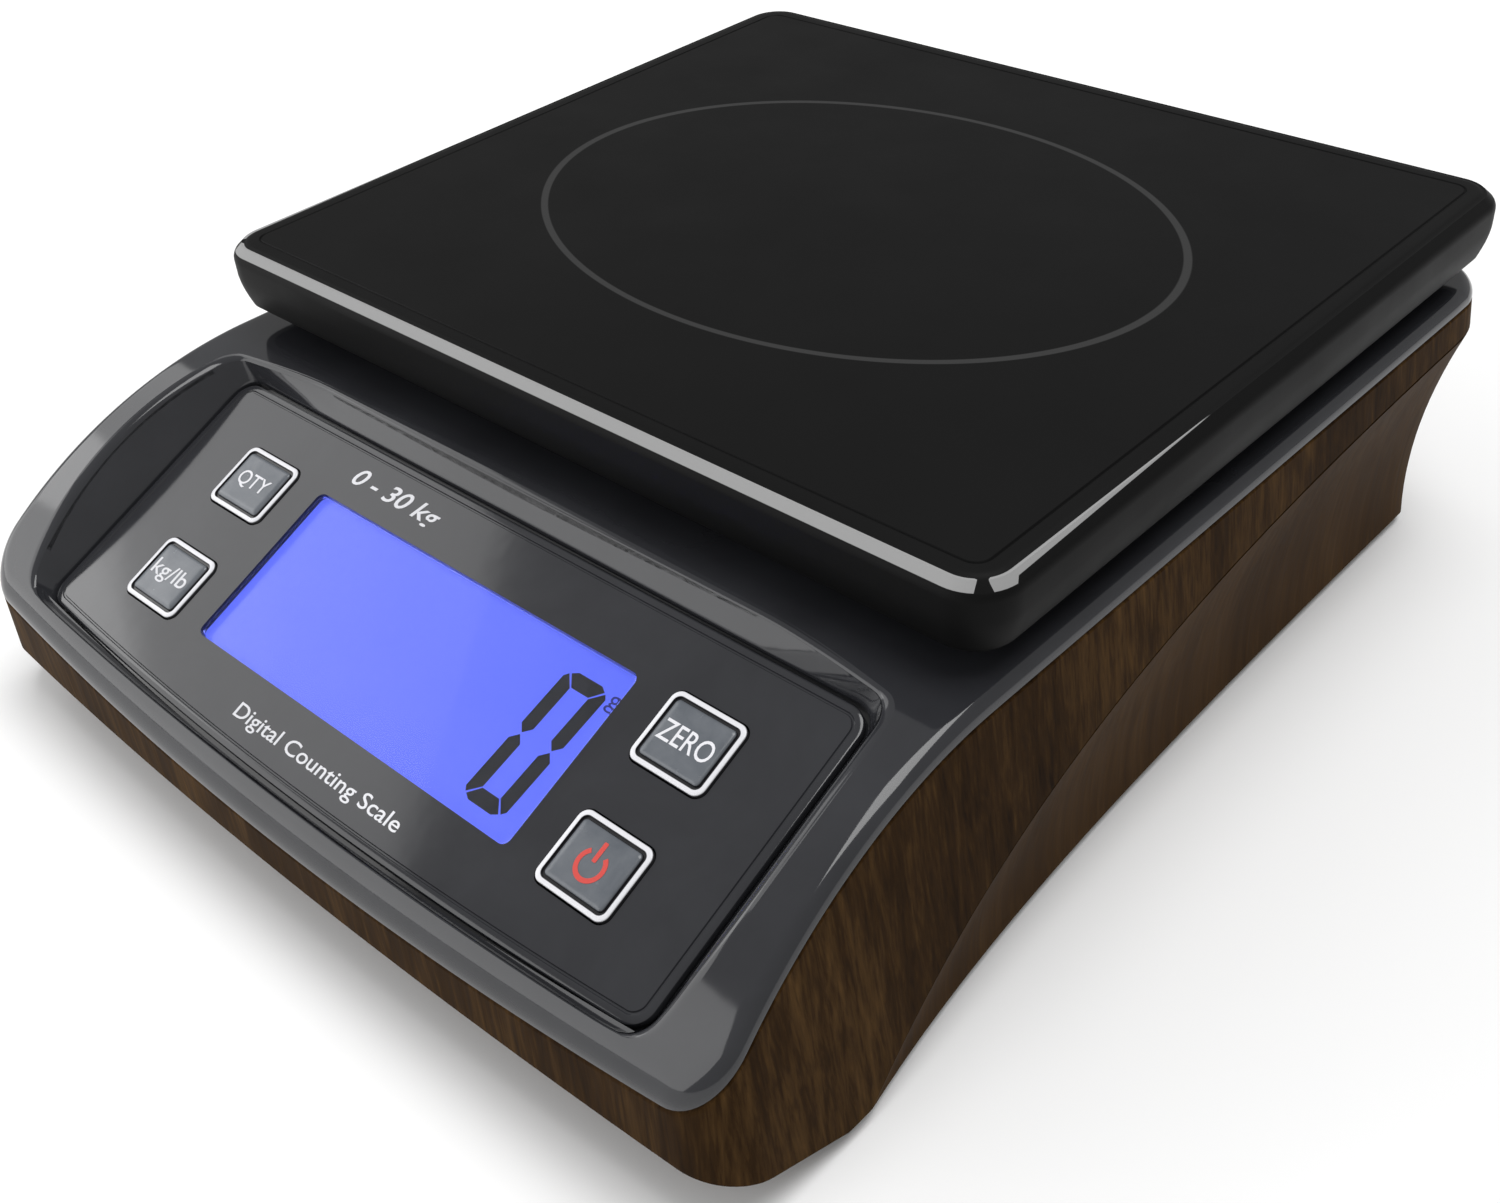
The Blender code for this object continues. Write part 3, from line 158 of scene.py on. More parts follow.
def box_of(node):
    """A CAD node's box: its low corner, its high corner and its middle."""
    low, high = (np.array(corner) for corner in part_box(node))
    return low, high, (low + high) / 2


def grid_mesh(name, points, closed=False, caps=True, strips=False, extra=None):
    """Quads over an array of points, rows by columns by xyz, each row a closed ring. closed
    joins the last row to the first, and caps fills the first and last rows, with one face or
    with strips between mirrored columns. extra holds point attributes."""
    points = np.asarray(points, dtype=float)
    rows, columns = points.shape[:2]
    index = np.arange(rows * columns).reshape(rows, columns)
    index = np.concatenate([index, index[:, :1]], axis=1)
    if closed:
        index = np.concatenate([index, index[:1]], axis=0)
    quads = np.stack([index[:-1, :-1], index[:-1, 1:], index[1:, 1:], index[1:, :-1]], axis=-1)
    faces = quads.reshape(-1, 4).tolist()
    if strips:
        half = columns // 2
        left = np.arange(1, half)
        for row in (0, rows - 1):
            right = row * columns + left
            other = row * columns + columns - left
            faces += np.stack([right[:-1], right[1:], other[1:], other[:-1]], axis=-1).tolist()
            faces += [[row * columns, right[0], other[0]], [right[-1], row * columns + half, other[-1]]]
    elif caps and not closed:
        faces.append(list(range(columns))[::-1])
        faces.append(list(range((rows - 1) * columns, rows * columns)))
    mesh = bpy.data.meshes.new(name)
    mesh.from_pydata(points.reshape(-1, 3), [], faces)
    for key, values in (extra or {}).items():
        layer = mesh.attributes.new(key, "FLOAT", "POINT")
        layer.data.foreach_set("value", np.asarray(values, dtype=np.float32).ravel())
    shape = bmesh.new()
    shape.from_mesh(mesh)
    bmesh.ops.remove_doubles(shape, verts=shape.verts, dist=1e-7)
    bmesh.ops.dissolve_degenerate(shape, edges=shape.edges, dist=1e-7)
    bmesh.ops.recalc_face_normals(shape, faces=shape.faces)
    shape.to_mesh(mesh)
    shape.free()
    return mesh


def settled(piece):
    """A mesh of what an object's modifiers or lettering make. The object is then removed."""
    bpy.context.view_layer.update()
    graph = bpy.context.evaluated_depsgraph_get()
    made = bpy.data.meshes.new_from_object(piece.evaluated_get(graph))
    bpy.data.objects.remove(piece, do_unlink=True)
    return made


def combined(mesh, tools, operation="DIFFERENCE"):
    """The mesh with every tool mesh cut out of it, or joined to it."""
    holder = placed("work", mesh)
    helpers = [placed(f"tool_{number}", tool) for number, tool in enumerate(tools)]
    for helper in helpers:
        step = holder.modifiers.new(helper.name, "BOOLEAN")
        step.operation = operation
        step.solver = "EXACT"
        step.object = helper
    made = settled(holder)
    for helper in helpers:
        bpy.data.objects.remove(helper, do_unlink=True)
    return made


def level(flat, z):
    """An outline of (x, y) rows with the height z as a third column."""
    return np.column_stack([flat, np.full(len(flat), z)])


def rounded_rectangle(half_x, low, high, corner, count=10, bow=0.0):
    """Closed outline of a rectangle with quarter-circle corners, as (x, y) rows. The low edge
    bows outwards as a parabola of depth bow."""
    turn = np.linspace(0, math.pi / 2, count)
    right = half_x - corner
    across = np.linspace(-right, right, 25)[1:-1]
    base = low - bow * (1 - (right / half_x) ** 2)
    parts = [(across, low - bow * (1 - (across / half_x) ** 2)),
             (right + corner * np.sin(turn), base + corner * (1 - np.cos(turn))),
             (right + corner * np.cos(turn), high - corner * (1 - np.sin(turn))),
             (-right - corner * np.sin(turn), high - corner * (1 - np.cos(turn))),
             (-right - corner * np.cos(turn), base + corner * (1 - np.sin(turn)))]
    return np.concatenate([np.column_stack(part) for part in parts])


def lathe(name, profile, centre, axis=2, sides=48, extra=None):
    """A profile of (radius, place along the axis) pairs turned about a line through centre that
    runs along X, Y or Z. Rows of radius nought close into a pole."""
    profile = np.asarray(profile, dtype=float)
    turn = np.linspace(0, 2 * math.pi, sides, endpoint=False)
    parts = [centre[0] + profile[:, :1] * np.cos(turn), centre[1] + profile[:, :1] * np.sin(turn)]
    parts.insert(axis, np.broadcast_to(profile[:, 1:2], parts[0].shape))
    return grid_mesh(name, np.stack(parts, axis=-1), caps=False, extra=extra)


def rod(radius, low, high, centre, axis=2, sides=48):
    """A plain cylinder, used as a tool."""
    return lathe("rod", [(0.0, low), (radius, low), (radius, high), (0.0, high)], centre, axis, sides)


def cuboid(low, high):
    """A plain box between two corners, used as a tool."""
    flat = [(low[0], low[1]), (high[0], low[1]), (high[0], high[1]), (low[0], high[1])]
    return grid_mesh("cuboid", [level(flat, z) for z in (low[2], high[2])])


def block(name, low, high, round_by, corner):
    """A box between two corners. Its upright edges are quarter circles of radius corner, and
    its level edges quarter circles of radius round_by."""
    low, high = np.asarray(low), np.asarray(high)
    turn = np.linspace(0, math.pi / 2, 5)
    inset = round_by * (1 - np.sin(turn))
    rise = round_by * (1 - np.cos(turn))
    rows = list(zip(inset, low[2] + rise)) + list(zip(inset[::-1], high[2] - rise[::-1]))
    rings = []
    for step, z in rows:
        ring = rounded_rectangle((high[0] - low[0]) / 2 - step, low[1] + step, high[1] - step,
                                 max(corner - step, 0.0001), count=6)
        rings.append(level(ring + [(high[0] + low[0]) / 2, 0.0], z))
    return grid_mesh(name, rings)


# -------- casing lines
def top_line(y):
    """Cover height: flat, then an arc of radius FRONT_CURVE down towards the front."""
    along = np.clip(DECK_FRONT - y, 0.0, FRONT_CURVE * 0.98)
    return DECK - (FRONT_CURVE - np.sqrt(FRONT_CURVE ** 2 - along ** 2))


def below(line, drop):
    """The height line lowered by drop."""
    return lambda y: line(y) - drop


edge_line = below(top_line, EDGE_DROP)


def under_line(y):
    """Underside: flat, and rising in front of the toe."""
    return TOE_Z + NOSE_LIFT * np.clip(TOE_FRONT - y, 0.0, None) / (TOE_FRONT - FRONT)


def seam_line(y):
    """Seam height: climbs behind the toe, steeply at first, as one minus an exponential."""
    behind = np.clip(y - TOE_REAR, 0.0, None)
    return under_line(y) + (SEAM_TOP - TOE_Z) * (1 - np.exp(-behind / SEAM_SWEEP))


def outline(inset):
    """The casing's plan outline as (x, y) rows, closed and mirrored, drawn in by inset: a bowed
    front, a corner arc, a straight side, a rear corner arc and a straight back. Points lie close
    together beside the panel's rear corner."""
    slope = 2 * FRONT_BOW * (HALF_WIDTH - FRONT_CORNER) / HALF_WIDTH ** 2
    front_end = HALF_WIDTH - FRONT_CORNER * (1 - math.sin(slope))
    base = np.linspace(0.0, 1.0, 30) * front_end
    sides = np.concatenate([np.linspace(-0.1050, -0.0885, 12)[:-1], np.linspace(-0.0885, -0.0620, 40),
                            np.linspace(-0.0620, -0.0400, 34)[1:],
                            np.linspace(-0.0400, 0.0995, 50)[1:-1]])
    turn_a = np.linspace(slope - math.pi / 2, 0, 16)[1:]
    turn_b = np.linspace(0, math.pi / 2, 16)[1:]
    back = np.linspace(1.0, 0.0, 24)[1:]
    cuts = np.cumsum([len(part) for part in (base, turn_a, sides, turn_b, back)])
    inset = np.broadcast_to(np.asarray(inset, dtype=float), (cuts[-1],))
    first, second, third, fourth, fifth = np.split(inset, cuts[:-1])
    corner_y = FRONT + FRONT_BOW * (front_end / HALF_WIDTH) ** 2 + FRONT_CORNER * math.cos(slope)
    radius_a = FRONT_CORNER - second
    radius_b = REAR_CORNER - fourth
    x = [base * (HALF_WIDTH - first) / HALF_WIDTH,
         HALF_WIDTH - FRONT_CORNER + radius_a * np.cos(turn_a),
         HALF_WIDTH - third,
         HALF_WIDTH - REAR_CORNER + radius_b * np.cos(turn_b),
         back * (HALF_WIDTH - REAR_CORNER)]
    y = [FRONT + FRONT_BOW * (base / HALF_WIDTH) ** 2 + first,
         corner_y + radius_a * np.sin(turn_a),
         np.maximum(sides, corner_y),
         REAR - REAR_CORNER + radius_b * np.sin(turn_b),
         REAR - fifth]
    half = np.column_stack([np.concatenate(x), np.concatenate(y)])
    return np.concatenate([half, half[1:-1][::-1] * [-1.0, 1.0]])


def casing_ring(inset, height):
    """The outline at a height, which is a function of y or an array along the right half, with
    the sides leaned outwards by SIDE_LEAN for each unit below the deck."""
    flat = outline(inset)
    z = height(flat[:, 1]) if callable(height) else np.concatenate([height, height[1:-1][::-1]])
    x = flat[:, 0] * (1 + SIDE_LEAN * (DECK - z) / HALF_WIDTH)
    return np.column_stack([x, flat[:, 1], z])


# -------- panel frame and cover
def on_panel(points):
    """Panel coordinates (x, up the panel, out of it) to the frame of the whole scale."""
    points = np.asarray(points, dtype=float)
    x, v, n = points[..., 0], points[..., 1], points[..., 2]
    y = PANEL_Y + v * math.cos(TILT) - n * math.sin(TILT)
    z = PANEL_Z + v * math.sin(TILT) + n * math.cos(TILT)
    return np.stack([x, y, z], axis=-1)


def evenly(flat, count):
    """A closed outline's points again, at count even steps of its length."""
    closed = np.concatenate([flat, flat[:1]])
    length = np.concatenate([[0.0], np.cumsum(np.hypot(*np.diff(closed, axis=0).T))])
    at = np.linspace(0, length[-1], count, endpoint=False)
    return np.column_stack([np.interp(at, length, closed[:, 0]), np.interp(at, length, closed[:, 1])])


def well_edge(theta, side, front, rear, corner):
    """Points of the well's outline at the given directions from its middle, read off a dense
    copy of the outline. side, front and rear say how far it lies outside the panel."""
    dense = evenly(rounded_rectangle(PANEL_HALF + side, PANEL_FRONT - front, PANEL_REAR + rear,
                                     corner, count=60, bow=PANEL_BOW), 6000)
    angle = np.arctan2(dense[:, 1], dense[:, 0])
    reach = np.hypot(dense[:, 0], dense[:, 1])
    order = np.argsort(angle)
    reach = np.interp(theta, angle[order], reach[order], period=2 * math.pi)
    return np.column_stack([reach * np.cos(theta), reach * np.sin(theta)])


def rounded_turn(before, at, after, reach, count):
    """Points of a quadratic curve that rounds the corner at `at`, starting and ending reach
    away from it on the two legs, or halfway along a shorter leg."""
    def leg(end):
        step = end - at
        length = np.maximum(np.linalg.norm(step, axis=1, keepdims=True), 1e-9)
        return at + step / length * np.minimum(reach, length * 0.5)
    start, end = leg(before), leg(after)
    share = np.linspace(0, 1, count)[:, None, None]
    return (1 - share) ** 2 * start + 2 * share * (1 - share) * at + share ** 2 * end


def well_rows():
    """Rows from the ledge under the panel, up the sloping wall and round the rim, and the
    casing ring that gives their directions. The rim is where the wall's line meets the cover's
    height, found by halving an interval."""
    ring = casing_ring(EDGE_ROUND, top_line)
    theta = np.arctan2((ring[:, 1] - PANEL_Y) / math.cos(TILT), ring[:, 0])
    floor = -PANEL_THICK - GAP
    inner = well_edge(theta, -LEDGE, -LEDGE, -LEDGE, PANEL_CORNER)
    foot = well_edge(theta, GROOVE, GROOVE, GROOVE, PANEL_CORNER + GROOVE)
    far = well_edge(theta, GROOVE + WELL_SPREAD_SIDE, GROOVE + WELL_SPREAD_FRONT,
                    GROOVE + WELL_SPREAD_REAR, PANEL_CORNER + 0.006)
    low_point = on_panel(level(foot, -GAP))
    high_point = on_panel(level(far, WELL_TALL))
    near, away = np.zeros(len(ring)), np.ones(len(ring))
    for _ in range(30):
        middle = (near + away) / 2
        point = low_point + (high_point - low_point) * middle[:, None]
        above = point[:, 2] > top_line(point[:, 1])
        away = np.where(above, middle, away)
        near = np.where(above, near, middle)
    rim = low_point + (high_point - low_point) * near[:, None]
    ledge = on_panel(level(inner, floor))
    corner = on_panel(level(foot, floor))
    beyond = rim + (ring - rim) * 0.5
    beyond[:, 2] = top_line(beyond[:, 1])
    share = np.linspace(0.12, 0.88, 6)[:, None, None]
    rows = [ledge[None], corner[None], rounded_turn(corner, low_point, rim, 0.0006, 3),
            low_point + (rim - low_point) * share, rounded_turn(low_point, rim, beyond, 0.0016, 9)]
    return np.concatenate(rows), ring


def cover_mesh():
    """One closed shell: the ledge and well, the top out to the edge, round the edge, in under
    the lip, and back along the inside to the ledge."""
    well, ring = well_rows()
    share = (np.linspace(0, 1, 26)[1:-1] ** 1.7)[:, None, None]
    top = well[-1] + (ring - well[-1]) * share
    top[..., 2] = top_line(top[..., 1])
    edge = [casing_ring(EDGE_ROUND * (1 - math.sin(turn)),
                        below(top_line, EDGE_ROUND * (1 - math.cos(turn))))
            for turn in np.linspace(0, math.pi / 2, 8)]
    lip = WALL + LIP_FIT
    inside = lip + LIP_WALL
    hidden = [casing_ring(0.0, edge_line), casing_ring(lip, edge_line),
              casing_ring(lip, below(edge_line, LIP)), casing_ring(inside, below(edge_line, LIP)),
              casing_ring(inside, below(top_line, WALL))]
    outward = ring - well[-1]
    outward /= np.linalg.norm(outward, axis=1, keepdims=True)
    under_rim = well[-1] + outward * 0.0006
    under_rim[:, 2] = top_line(under_rim[:, 1]) - WALL
    down = np.array([0.0, 0.0, LEDGE_THICK])
    rows = [well, top, edge, hidden, under_rim[None], (well[1] + outward * 0.0014 - down)[None],
            (well[0] - down)[None]]
    mesh = grid_mesh("cover", np.concatenate(rows), closed=True)
    return combined(mesh, [rod(0.0075, DECK - 0.01, DECK + 0.01, place, sides=40)
                           for place in DECK_HOLES])


# -------- band, housing and pan
def band_mesh():
    """The side band: outside from the seam up to the cover, over its top, and down inside, with
    small roundings at both lips."""
    soft = 0.0005
    upper = below(edge_line, GAP)
    rows = [casing_ring(soft, seam_line), casing_ring(0.0, below(seam_line, -soft))]
    for share in np.linspace(0.08, 0.92, 9):
        rows.append(casing_ring(0.0, lambda y: seam_line(y) + (upper(y) - seam_line(y)) * share))
    rows += [casing_ring(0.0, below(upper, soft)), casing_ring(soft, upper),
             casing_ring(WALL, upper), casing_ring(WALL, seam_line)]
    return grid_mesh("band", rows, closed=True)


def housing_rows():
    """Outside and inside rows of the lower housing. Behind the toe the foot of the wall draws
    in by FLARE times the wall's height, less that times the square of the share of the height
    climbed, which makes a cove. Ahead of the toe it is a tray inside the band."""
    y = outline(0.0)
    y = y[:len(y) // 2 + 1, 1]
    ahead = y < TOE_REAR
    under, seam = under_line(y), seam_line(y)
    tall = np.clip(seam - TOE_Z - GAP, 0.0, None)
    lip = WALL + LIP_FIT
    inside = lip + LIP_WALL

    def wall(share, thick):
        inset = np.where(ahead, lip + thick, GAP + FLARE * tall * (1 - share ** 2) + thick)
        rise = np.where(ahead, 0.0060 * share, tall * share) + thick * (1 - share)
        return casing_ring(inset, np.where(ahead, under, TOE_Z) + rise)

    shoulder = np.where(ahead, under + 0.0070, seam)
    crest = np.where(ahead, under + 0.0085, seam + LIP)
    rows = [wall(share, 0.0) for share in np.linspace(0, 1, 15)]
    rows += [casing_ring(lip, shoulder), casing_ring(lip, crest),
             casing_ring(inside, crest), casing_ring(inside, shoulder)]
    rows += [wall(share, WALL) for share in np.linspace(0.94, 0, 12)]
    return np.array(rows)


def screw_room(place, wide, seat, shank, top):
    """A tool that clears a screw from below: a room for its head with a chamfered mouth, up to
    the seat, and a hole for its shank."""
    neck = wide - 0.0004
    return lathe("room", [(0.0, 0.0), (wide, 0.0), (wide, TOE_Z), (neck, TOE_Z + 0.0004),
                          (neck, seat), (shank, seat), (shank, top), (0.0, top)], place)


def housing_mesh():
    """The lower housing with its bosses, its battery room and the openings in it."""
    shell = grid_mesh("housing", housing_rows(), strips=True)
    left, right, front, rear, roof = POCKET
    floor = TOE_Z + WALL / 2
    joins = [cuboid((left - POCKET_WALL, front - POCKET_WALL, floor),
                    (right + POCKET_WALL, rear + POCKET_WALL, roof + POCKET_WALL)),
             cuboid((-0.00935, 0.043, floor), (0.00935, 0.075, 0.0100))]
    joins += [rod(0.0042, floor, 0.020, place) for place in CASE_SCREWS]
    cuts = [block("pocket_room", (left, front, 0.0), (right, rear, roof), 0.0003, 0.0006)]
    cuts += [screw_room(place, 0.0036, 0.0053, 0.0018, 0.022) for place in CASE_SCREWS]
    cuts += [screw_room((0.0, y), 0.0043, 0.0057, 0.0024, 0.012) for y in FIXED_SCREWS]
    _, high, middle = box_of("dc_jack")
    profile = [(0.0, -0.010), (0.0041, -0.010), (0.0041, -0.0012), (0.0047, -0.0006), (0.0047, 0.004),
               (0.0, 0.004)]
    cuts.append(lathe("inlet_hole", np.array(profile) + [0.0, high[1]], middle[::2], axis=1))
    return combined(combined(shell, joins, "UNION"), cuts)


def pan_ring(inset, z):
    """The pan's outline drawn in by inset, at the height z."""
    ring = rounded_rectangle(PAN_HALF - inset, -PAN_DEEP + inset, PAN_DEEP - inset,
                             max(PAN_CORNER - inset, 0.0012), 14)
    return level(ring + [0.0, PAN_Y], z)


def painted_highlight_width(x, y):
    """Share of the bevel that the painted highlight covers at each point of an outline: all of it
    along the front, none at the break in each corner, and about half of it at the start of each
    side, tapering away. It is light grey painted into the colour where a lamp's highlight falls."""
    behind = y - (PAN_Y - PAN_DEEP + 0.0079)
    width = np.where(behind > 0, 0.55 - behind / 0.050, 1.0)
    along = np.abs(x) - (PAN_HALF - PAN_CORNER)
    ahead = y - (PAN_Y - PAN_DEEP + PAN_CORNER)
    at_corner = np.abs(np.hypot(along, ahead) - 0.0079) < 0.0004
    at_break = at_corner & (np.abs(along + ahead) < 0.0009)
    return np.where(at_break, -1.0, np.clip(width, -1.0, 1.0))


def pan_mesh():
    """The pan: a slightly tapered skirt, a bevelled shoulder, a fine groove round the flat top,
    and a hollow underside. pale is above nought where a painted highlight lies on the bevel, and
    groove is one in the fine groove, which is coloured near black as painted shade."""
    low = PAN_TOP - PAN_SKIRT
    steps = [(0.0785, PAN_TOP - 0.0022), (0.0060, PAN_TOP - 0.0022), (0.0040, PAN_TOP - 0.0036),
             (0.0024, PAN_TOP - 0.0055), (0.0036, low + 0.0004), (0.0033, low), (0.0019, low),
             (0.0015, low + 0.0004)]
    steps += [(0.0015 * (1 - share) ** 1.5, low + 0.0004 + 0.0060 * share)
              for share in np.linspace(0.1, 1.0, 6)]
    steps += [(0.0022 * (1 - math.cos(turn)), PAN_TOP - 0.0030 + 0.0022 * math.sin(turn))
              for turn in np.linspace(0, math.radians(40), 5)]
    # painted highlight: the bevel rows from here are given a light grey painted highlight
    painted_highlight = len(steps)
    steps += [(0.00060, PAN_TOP - 0.00150), (0.00200, PAN_TOP - 0.00028)]
    steps += [(0.0037 - 0.0020 * math.cos(turn), PAN_TOP - 0.0020 + 0.0020 * math.sin(turn))
              for turn in np.linspace(math.radians(55), math.pi / 2, 4)]
    groove = len(steps) + 2
    steps += [(0.0050, PAN_TOP), (0.0054, PAN_TOP), (0.0056, PAN_TOP - 0.00018),
              (0.0058, PAN_TOP - 0.00018), (0.0060, PAN_TOP), (0.0064, PAN_TOP), (0.0700, PAN_TOP),
              (0.0785, PAN_TOP)]
    rings = np.array([pan_ring(inset, z) for inset, z in steps])
    # pale is the painted highlight's share of the bevel: full along the front, tapering up the sides
    width = painted_highlight_width(rings[painted_highlight, :, 0], rings[painted_highlight, :, 1])
    pale = np.full(rings.shape[:2], -1.0)
    pale[painted_highlight] = width - 1.0
    pale[painted_highlight + 1] = width
    pale[painted_highlight + 2] = np.where(width > 0, -0.02, -1.0)
    # painted shade: the rows of the fine groove are marked to be coloured near black
    painted_groove_shade = np.zeros(rings.shape[:2])
    painted_groove_shade[groove:groove + 2] = 1.0
    return grid_mesh("pan", rings, extra={"pale": pale, "groove": painted_groove_shade})


# -------- finishes
class Finish:
    """A material with one Principled shader, and short ways to add the nodes that feed it.
    Wherever a value is asked for, a node's output is linked and a constant is set."""

    def __init__(self, name, roughness, metallic=0.0, color=(0.1, 0.1, 0.1), **more):
        self.material = bpy.data.materials.new(name)
        self.material.use_nodes = True
        self.tree = self.material.node_tree
        self.shader = self.tree.nodes["Principled BSDF"]
        self.feed(self.shader, Base_Color=color, Roughness=roughness, Metallic=metallic, **more)

    def give(self, socket, value):
        """Links an output to a socket, or sets the socket's own value."""
        if isinstance(value, bpy.types.NodeSocket):
            self.tree.links.new(value, socket)
        else:
            socket.default_value = (*value, 1.0) if socket.type == "RGBA" else value

    def feed(self, node, **inputs):
        """Gives values to inputs by name, with underscores for spaces."""
        for key, value in inputs.items():
            self.give(node.inputs[key.replace("_", " ")], value)

    def add(self, kind, output, setting=None, **inputs):
        """A new node's output. setting is one (property, value) pair."""
        node = self.tree.nodes.new("ShaderNode" + kind)
        if setting:
            setattr(node, *setting)
        self.feed(node, **inputs)
        return node.outputs[output]

    def place(self, scale=(1.0, 1.0, 1.0), turn=(0.0, 0.0, 0.0), move=(0.0, 0.0, 0.0)):
        """Object coordinates, scaled, turned and moved."""
        return self.add("Mapping", "Vector", Vector=self.add("TexCoord", "Object"), Scale=scale,
                        Rotation=turn, Location=move)

    def noise(self, vector, scale, detail=4.0, rough=0.55, distort=0.0):
        """Cloudy values about a half."""
        return self.add("TexNoise", "Fac", Vector=vector, Scale=scale, Detail=detail,
                        Roughness=rough, Distortion=distort)

    def attribute(self, name):
        return self.add("Attribute", "Fac", ("attribute_name", name))

    def ramp(self, value, *stops):
        """A colour picked by a value between stops, each a place and a colour."""
        color = self.add("ValToRGB", "Color", Fac=value)
        band = color.node.color_ramp
        while len(band.elements) < len(stops):
            band.elements.new(0.5)
        for element, (place, tone) in zip(band.elements, stops):
            element.position = place
            element.color = (*tone, 1.0)
        return color

    def spread(self, value, low, high, start=0.0, end=1.0):
        """Maps a value from start..end to low..high."""
        return self.add("MapRange", "Result", Value=value, From_Min=start, From_Max=end,
                        To_Min=low, To_Max=high)

    def weigh(self, value, by, plus=0.0):
        """A value times by, plus another."""
        total = self.add("Math", "Value", ("operation", "MULTIPLY_ADD"))
        for socket, given in zip(total.node.inputs, (value, by, plus)):
            self.give(socket, given)
        return total

    def mix(self, share, first, second):
        """Two colours mixed: the first where share is nought, the second where it is one."""
        return self.add("Mix", "Result", ("data_type", "RGBA"), Factor=share, A=first, B=second)

    def surface(self, color, smear, low, high):
        """The shader's colour, and its roughness between low and high."""
        self.feed(self.shader, Base_Color=color, Roughness=self.spread(smear, low, high))

    def bump(self, height, distance, strength):
        """Fine relief for the whole surface."""
        normal = self.add("Bump", "Normal", Height=height, Distance=distance, Strength=strength)
        self.feed(self.shader, Normal=normal)


def plain_plastic(name, color, roughness, grain=900.0, depth=0.00002, vary=0.12):
    """Moulded plastic: a fine even texture, a faint drift of tone and uneven polish."""
    look = Finish(name, roughness, color=color)
    here = look.place()
    tone = look.ramp(look.noise(here, 14.0, 3.0), (0.3, tuple(c * (1 - vary) for c in color)),
                       (0.7, tuple(c * (1 + vary) for c in color)))
    smear = look.noise(here, 45.0, 5.0, 0.6)
    look.surface(tone, smear, roughness * 0.85, roughness * 1.2)
    look.bump(look.noise(here, grain, 2.0), depth, 0.6)
    return look.material


def gloss_cover():
    """Polished dark plastic: deep colour, faint haze of fingerprints and a slight orange peel."""
    look = Finish("gloss_black", 0.07, color=(0.023, 0.0235, 0.027))
    here = look.place()
    haze = look.noise(here, 38.0, 6.0, 0.62, 0.4)
    tone = look.ramp(haze, (0.35, (0.021, 0.0215, 0.0245)), (0.8, (0.029, 0.030, 0.034)))
    look.surface(tone, haze, 0.04, 0.13)
    look.bump(look.noise(here, 260.0, 1.0), 0.000012, 0.5)
    return look.material


def pan_black():
    """Flat black moulding with a thin grey printed ring, an ellipse about the pan's middle, a
    painted highlight on the bevel where pale is above nought, and painted shade in the groove."""
    look = Finish("matt_black", 0.5, color=(0.0040, 0.0040, 0.0040), Specular_IOR_Level=0.07)
    squashed = look.place((1 / RING_WIDE, 1 / RING_DEEP, 0.0), move=(0.0, -PAN_Y / RING_DEEP, 0.0))
    length = look.add("VectorMath", "Value", ("operation", "LENGTH"), Vector=squashed)
    here = look.place()
    color = look.ramp(look.noise(here, 22.0, 4.0), (0.3, (0.0036, 0.0036, 0.0036)),
                        (0.7, (0.0046, 0.0046, 0.0046)))
    none, full = (0.0, 0.0, 0.0), (1.0, 1.0, 1.0)
    ring = look.ramp(length, (0.9730, none), (0.9760, full), (0.9970, full), (0.9999, none))
    color = look.mix(ring, color, (0.032, 0.032, 0.032))
    # painted shade: the fine groove is coloured near black
    color = look.mix(look.attribute("groove"), color, (0.0008, 0.0008, 0.0008))
    # painted highlight: light grey mixed into the bevel's colour where pale is above nought
    painted_highlight = look.spread(look.attribute("pale"), 0.0, 1.0, 0.0, 0.03)
    color = look.mix(painted_highlight, color, (0.28, 0.28, 0.28))
    look.surface(color, look.noise(here, 60.0, 5.0), 0.42, 0.58)
    look.bump(look.noise(here, 1400.0, 1.0), 0.00001, 0.4)
    return look.material


def walnut(name, roughness, dark, mid, light):
    """Wood-grain film. Fine fibres, short pores and slow waves are noises drawn out along the
    fibre, which runs down the side; their weighted sum picks the tone."""
    look = Finish(name, roughness, color=mid, Specular_IOR_Level=0.02)

    def drawn_out(along, *noise):
        return look.noise(look.place((1.0, 1.0, along), (0.12, 0.10, 0.0)), *noise)

    wave = drawn_out(0.30, 34.0, 3.0, 0.5, 0.8)
    fibre = drawn_out(0.05, 1500.0, 5.0, 0.6, 0.3)
    pores = drawn_out(0.07, 380.0, 4.0, 0.6, 0.8)
    total = look.weigh(fibre, 0.32, look.weigh(pores, 0.38, look.weigh(wave, 0.30)))
    tone = look.ramp(total, (0.34, dark), (0.50, mid), (0.66, light))
    look.surface(tone, fibre, roughness * 0.8, roughness * 1.35)
    look.bump(fibre, 0.00002, 0.5)
    return look.material


def brushed(name, color, roughness, stretch=(1.0, 1.0, 30.0)):
    """Metal with fine marks drawn out along one direction, and cloudy polish."""
    look = Finish(name, roughness, 1.0, color)
    fine = look.noise(look.place(stretch), 300.0, 4.0)
    tone = look.ramp(fine, (0.3, tuple(c * 0.82 for c in color)), (0.7, color))
    look.surface(tone, fine, roughness * 0.8, roughness * 1.3)
    look.bump(fine, 0.00001, 0.4)
    return look.material


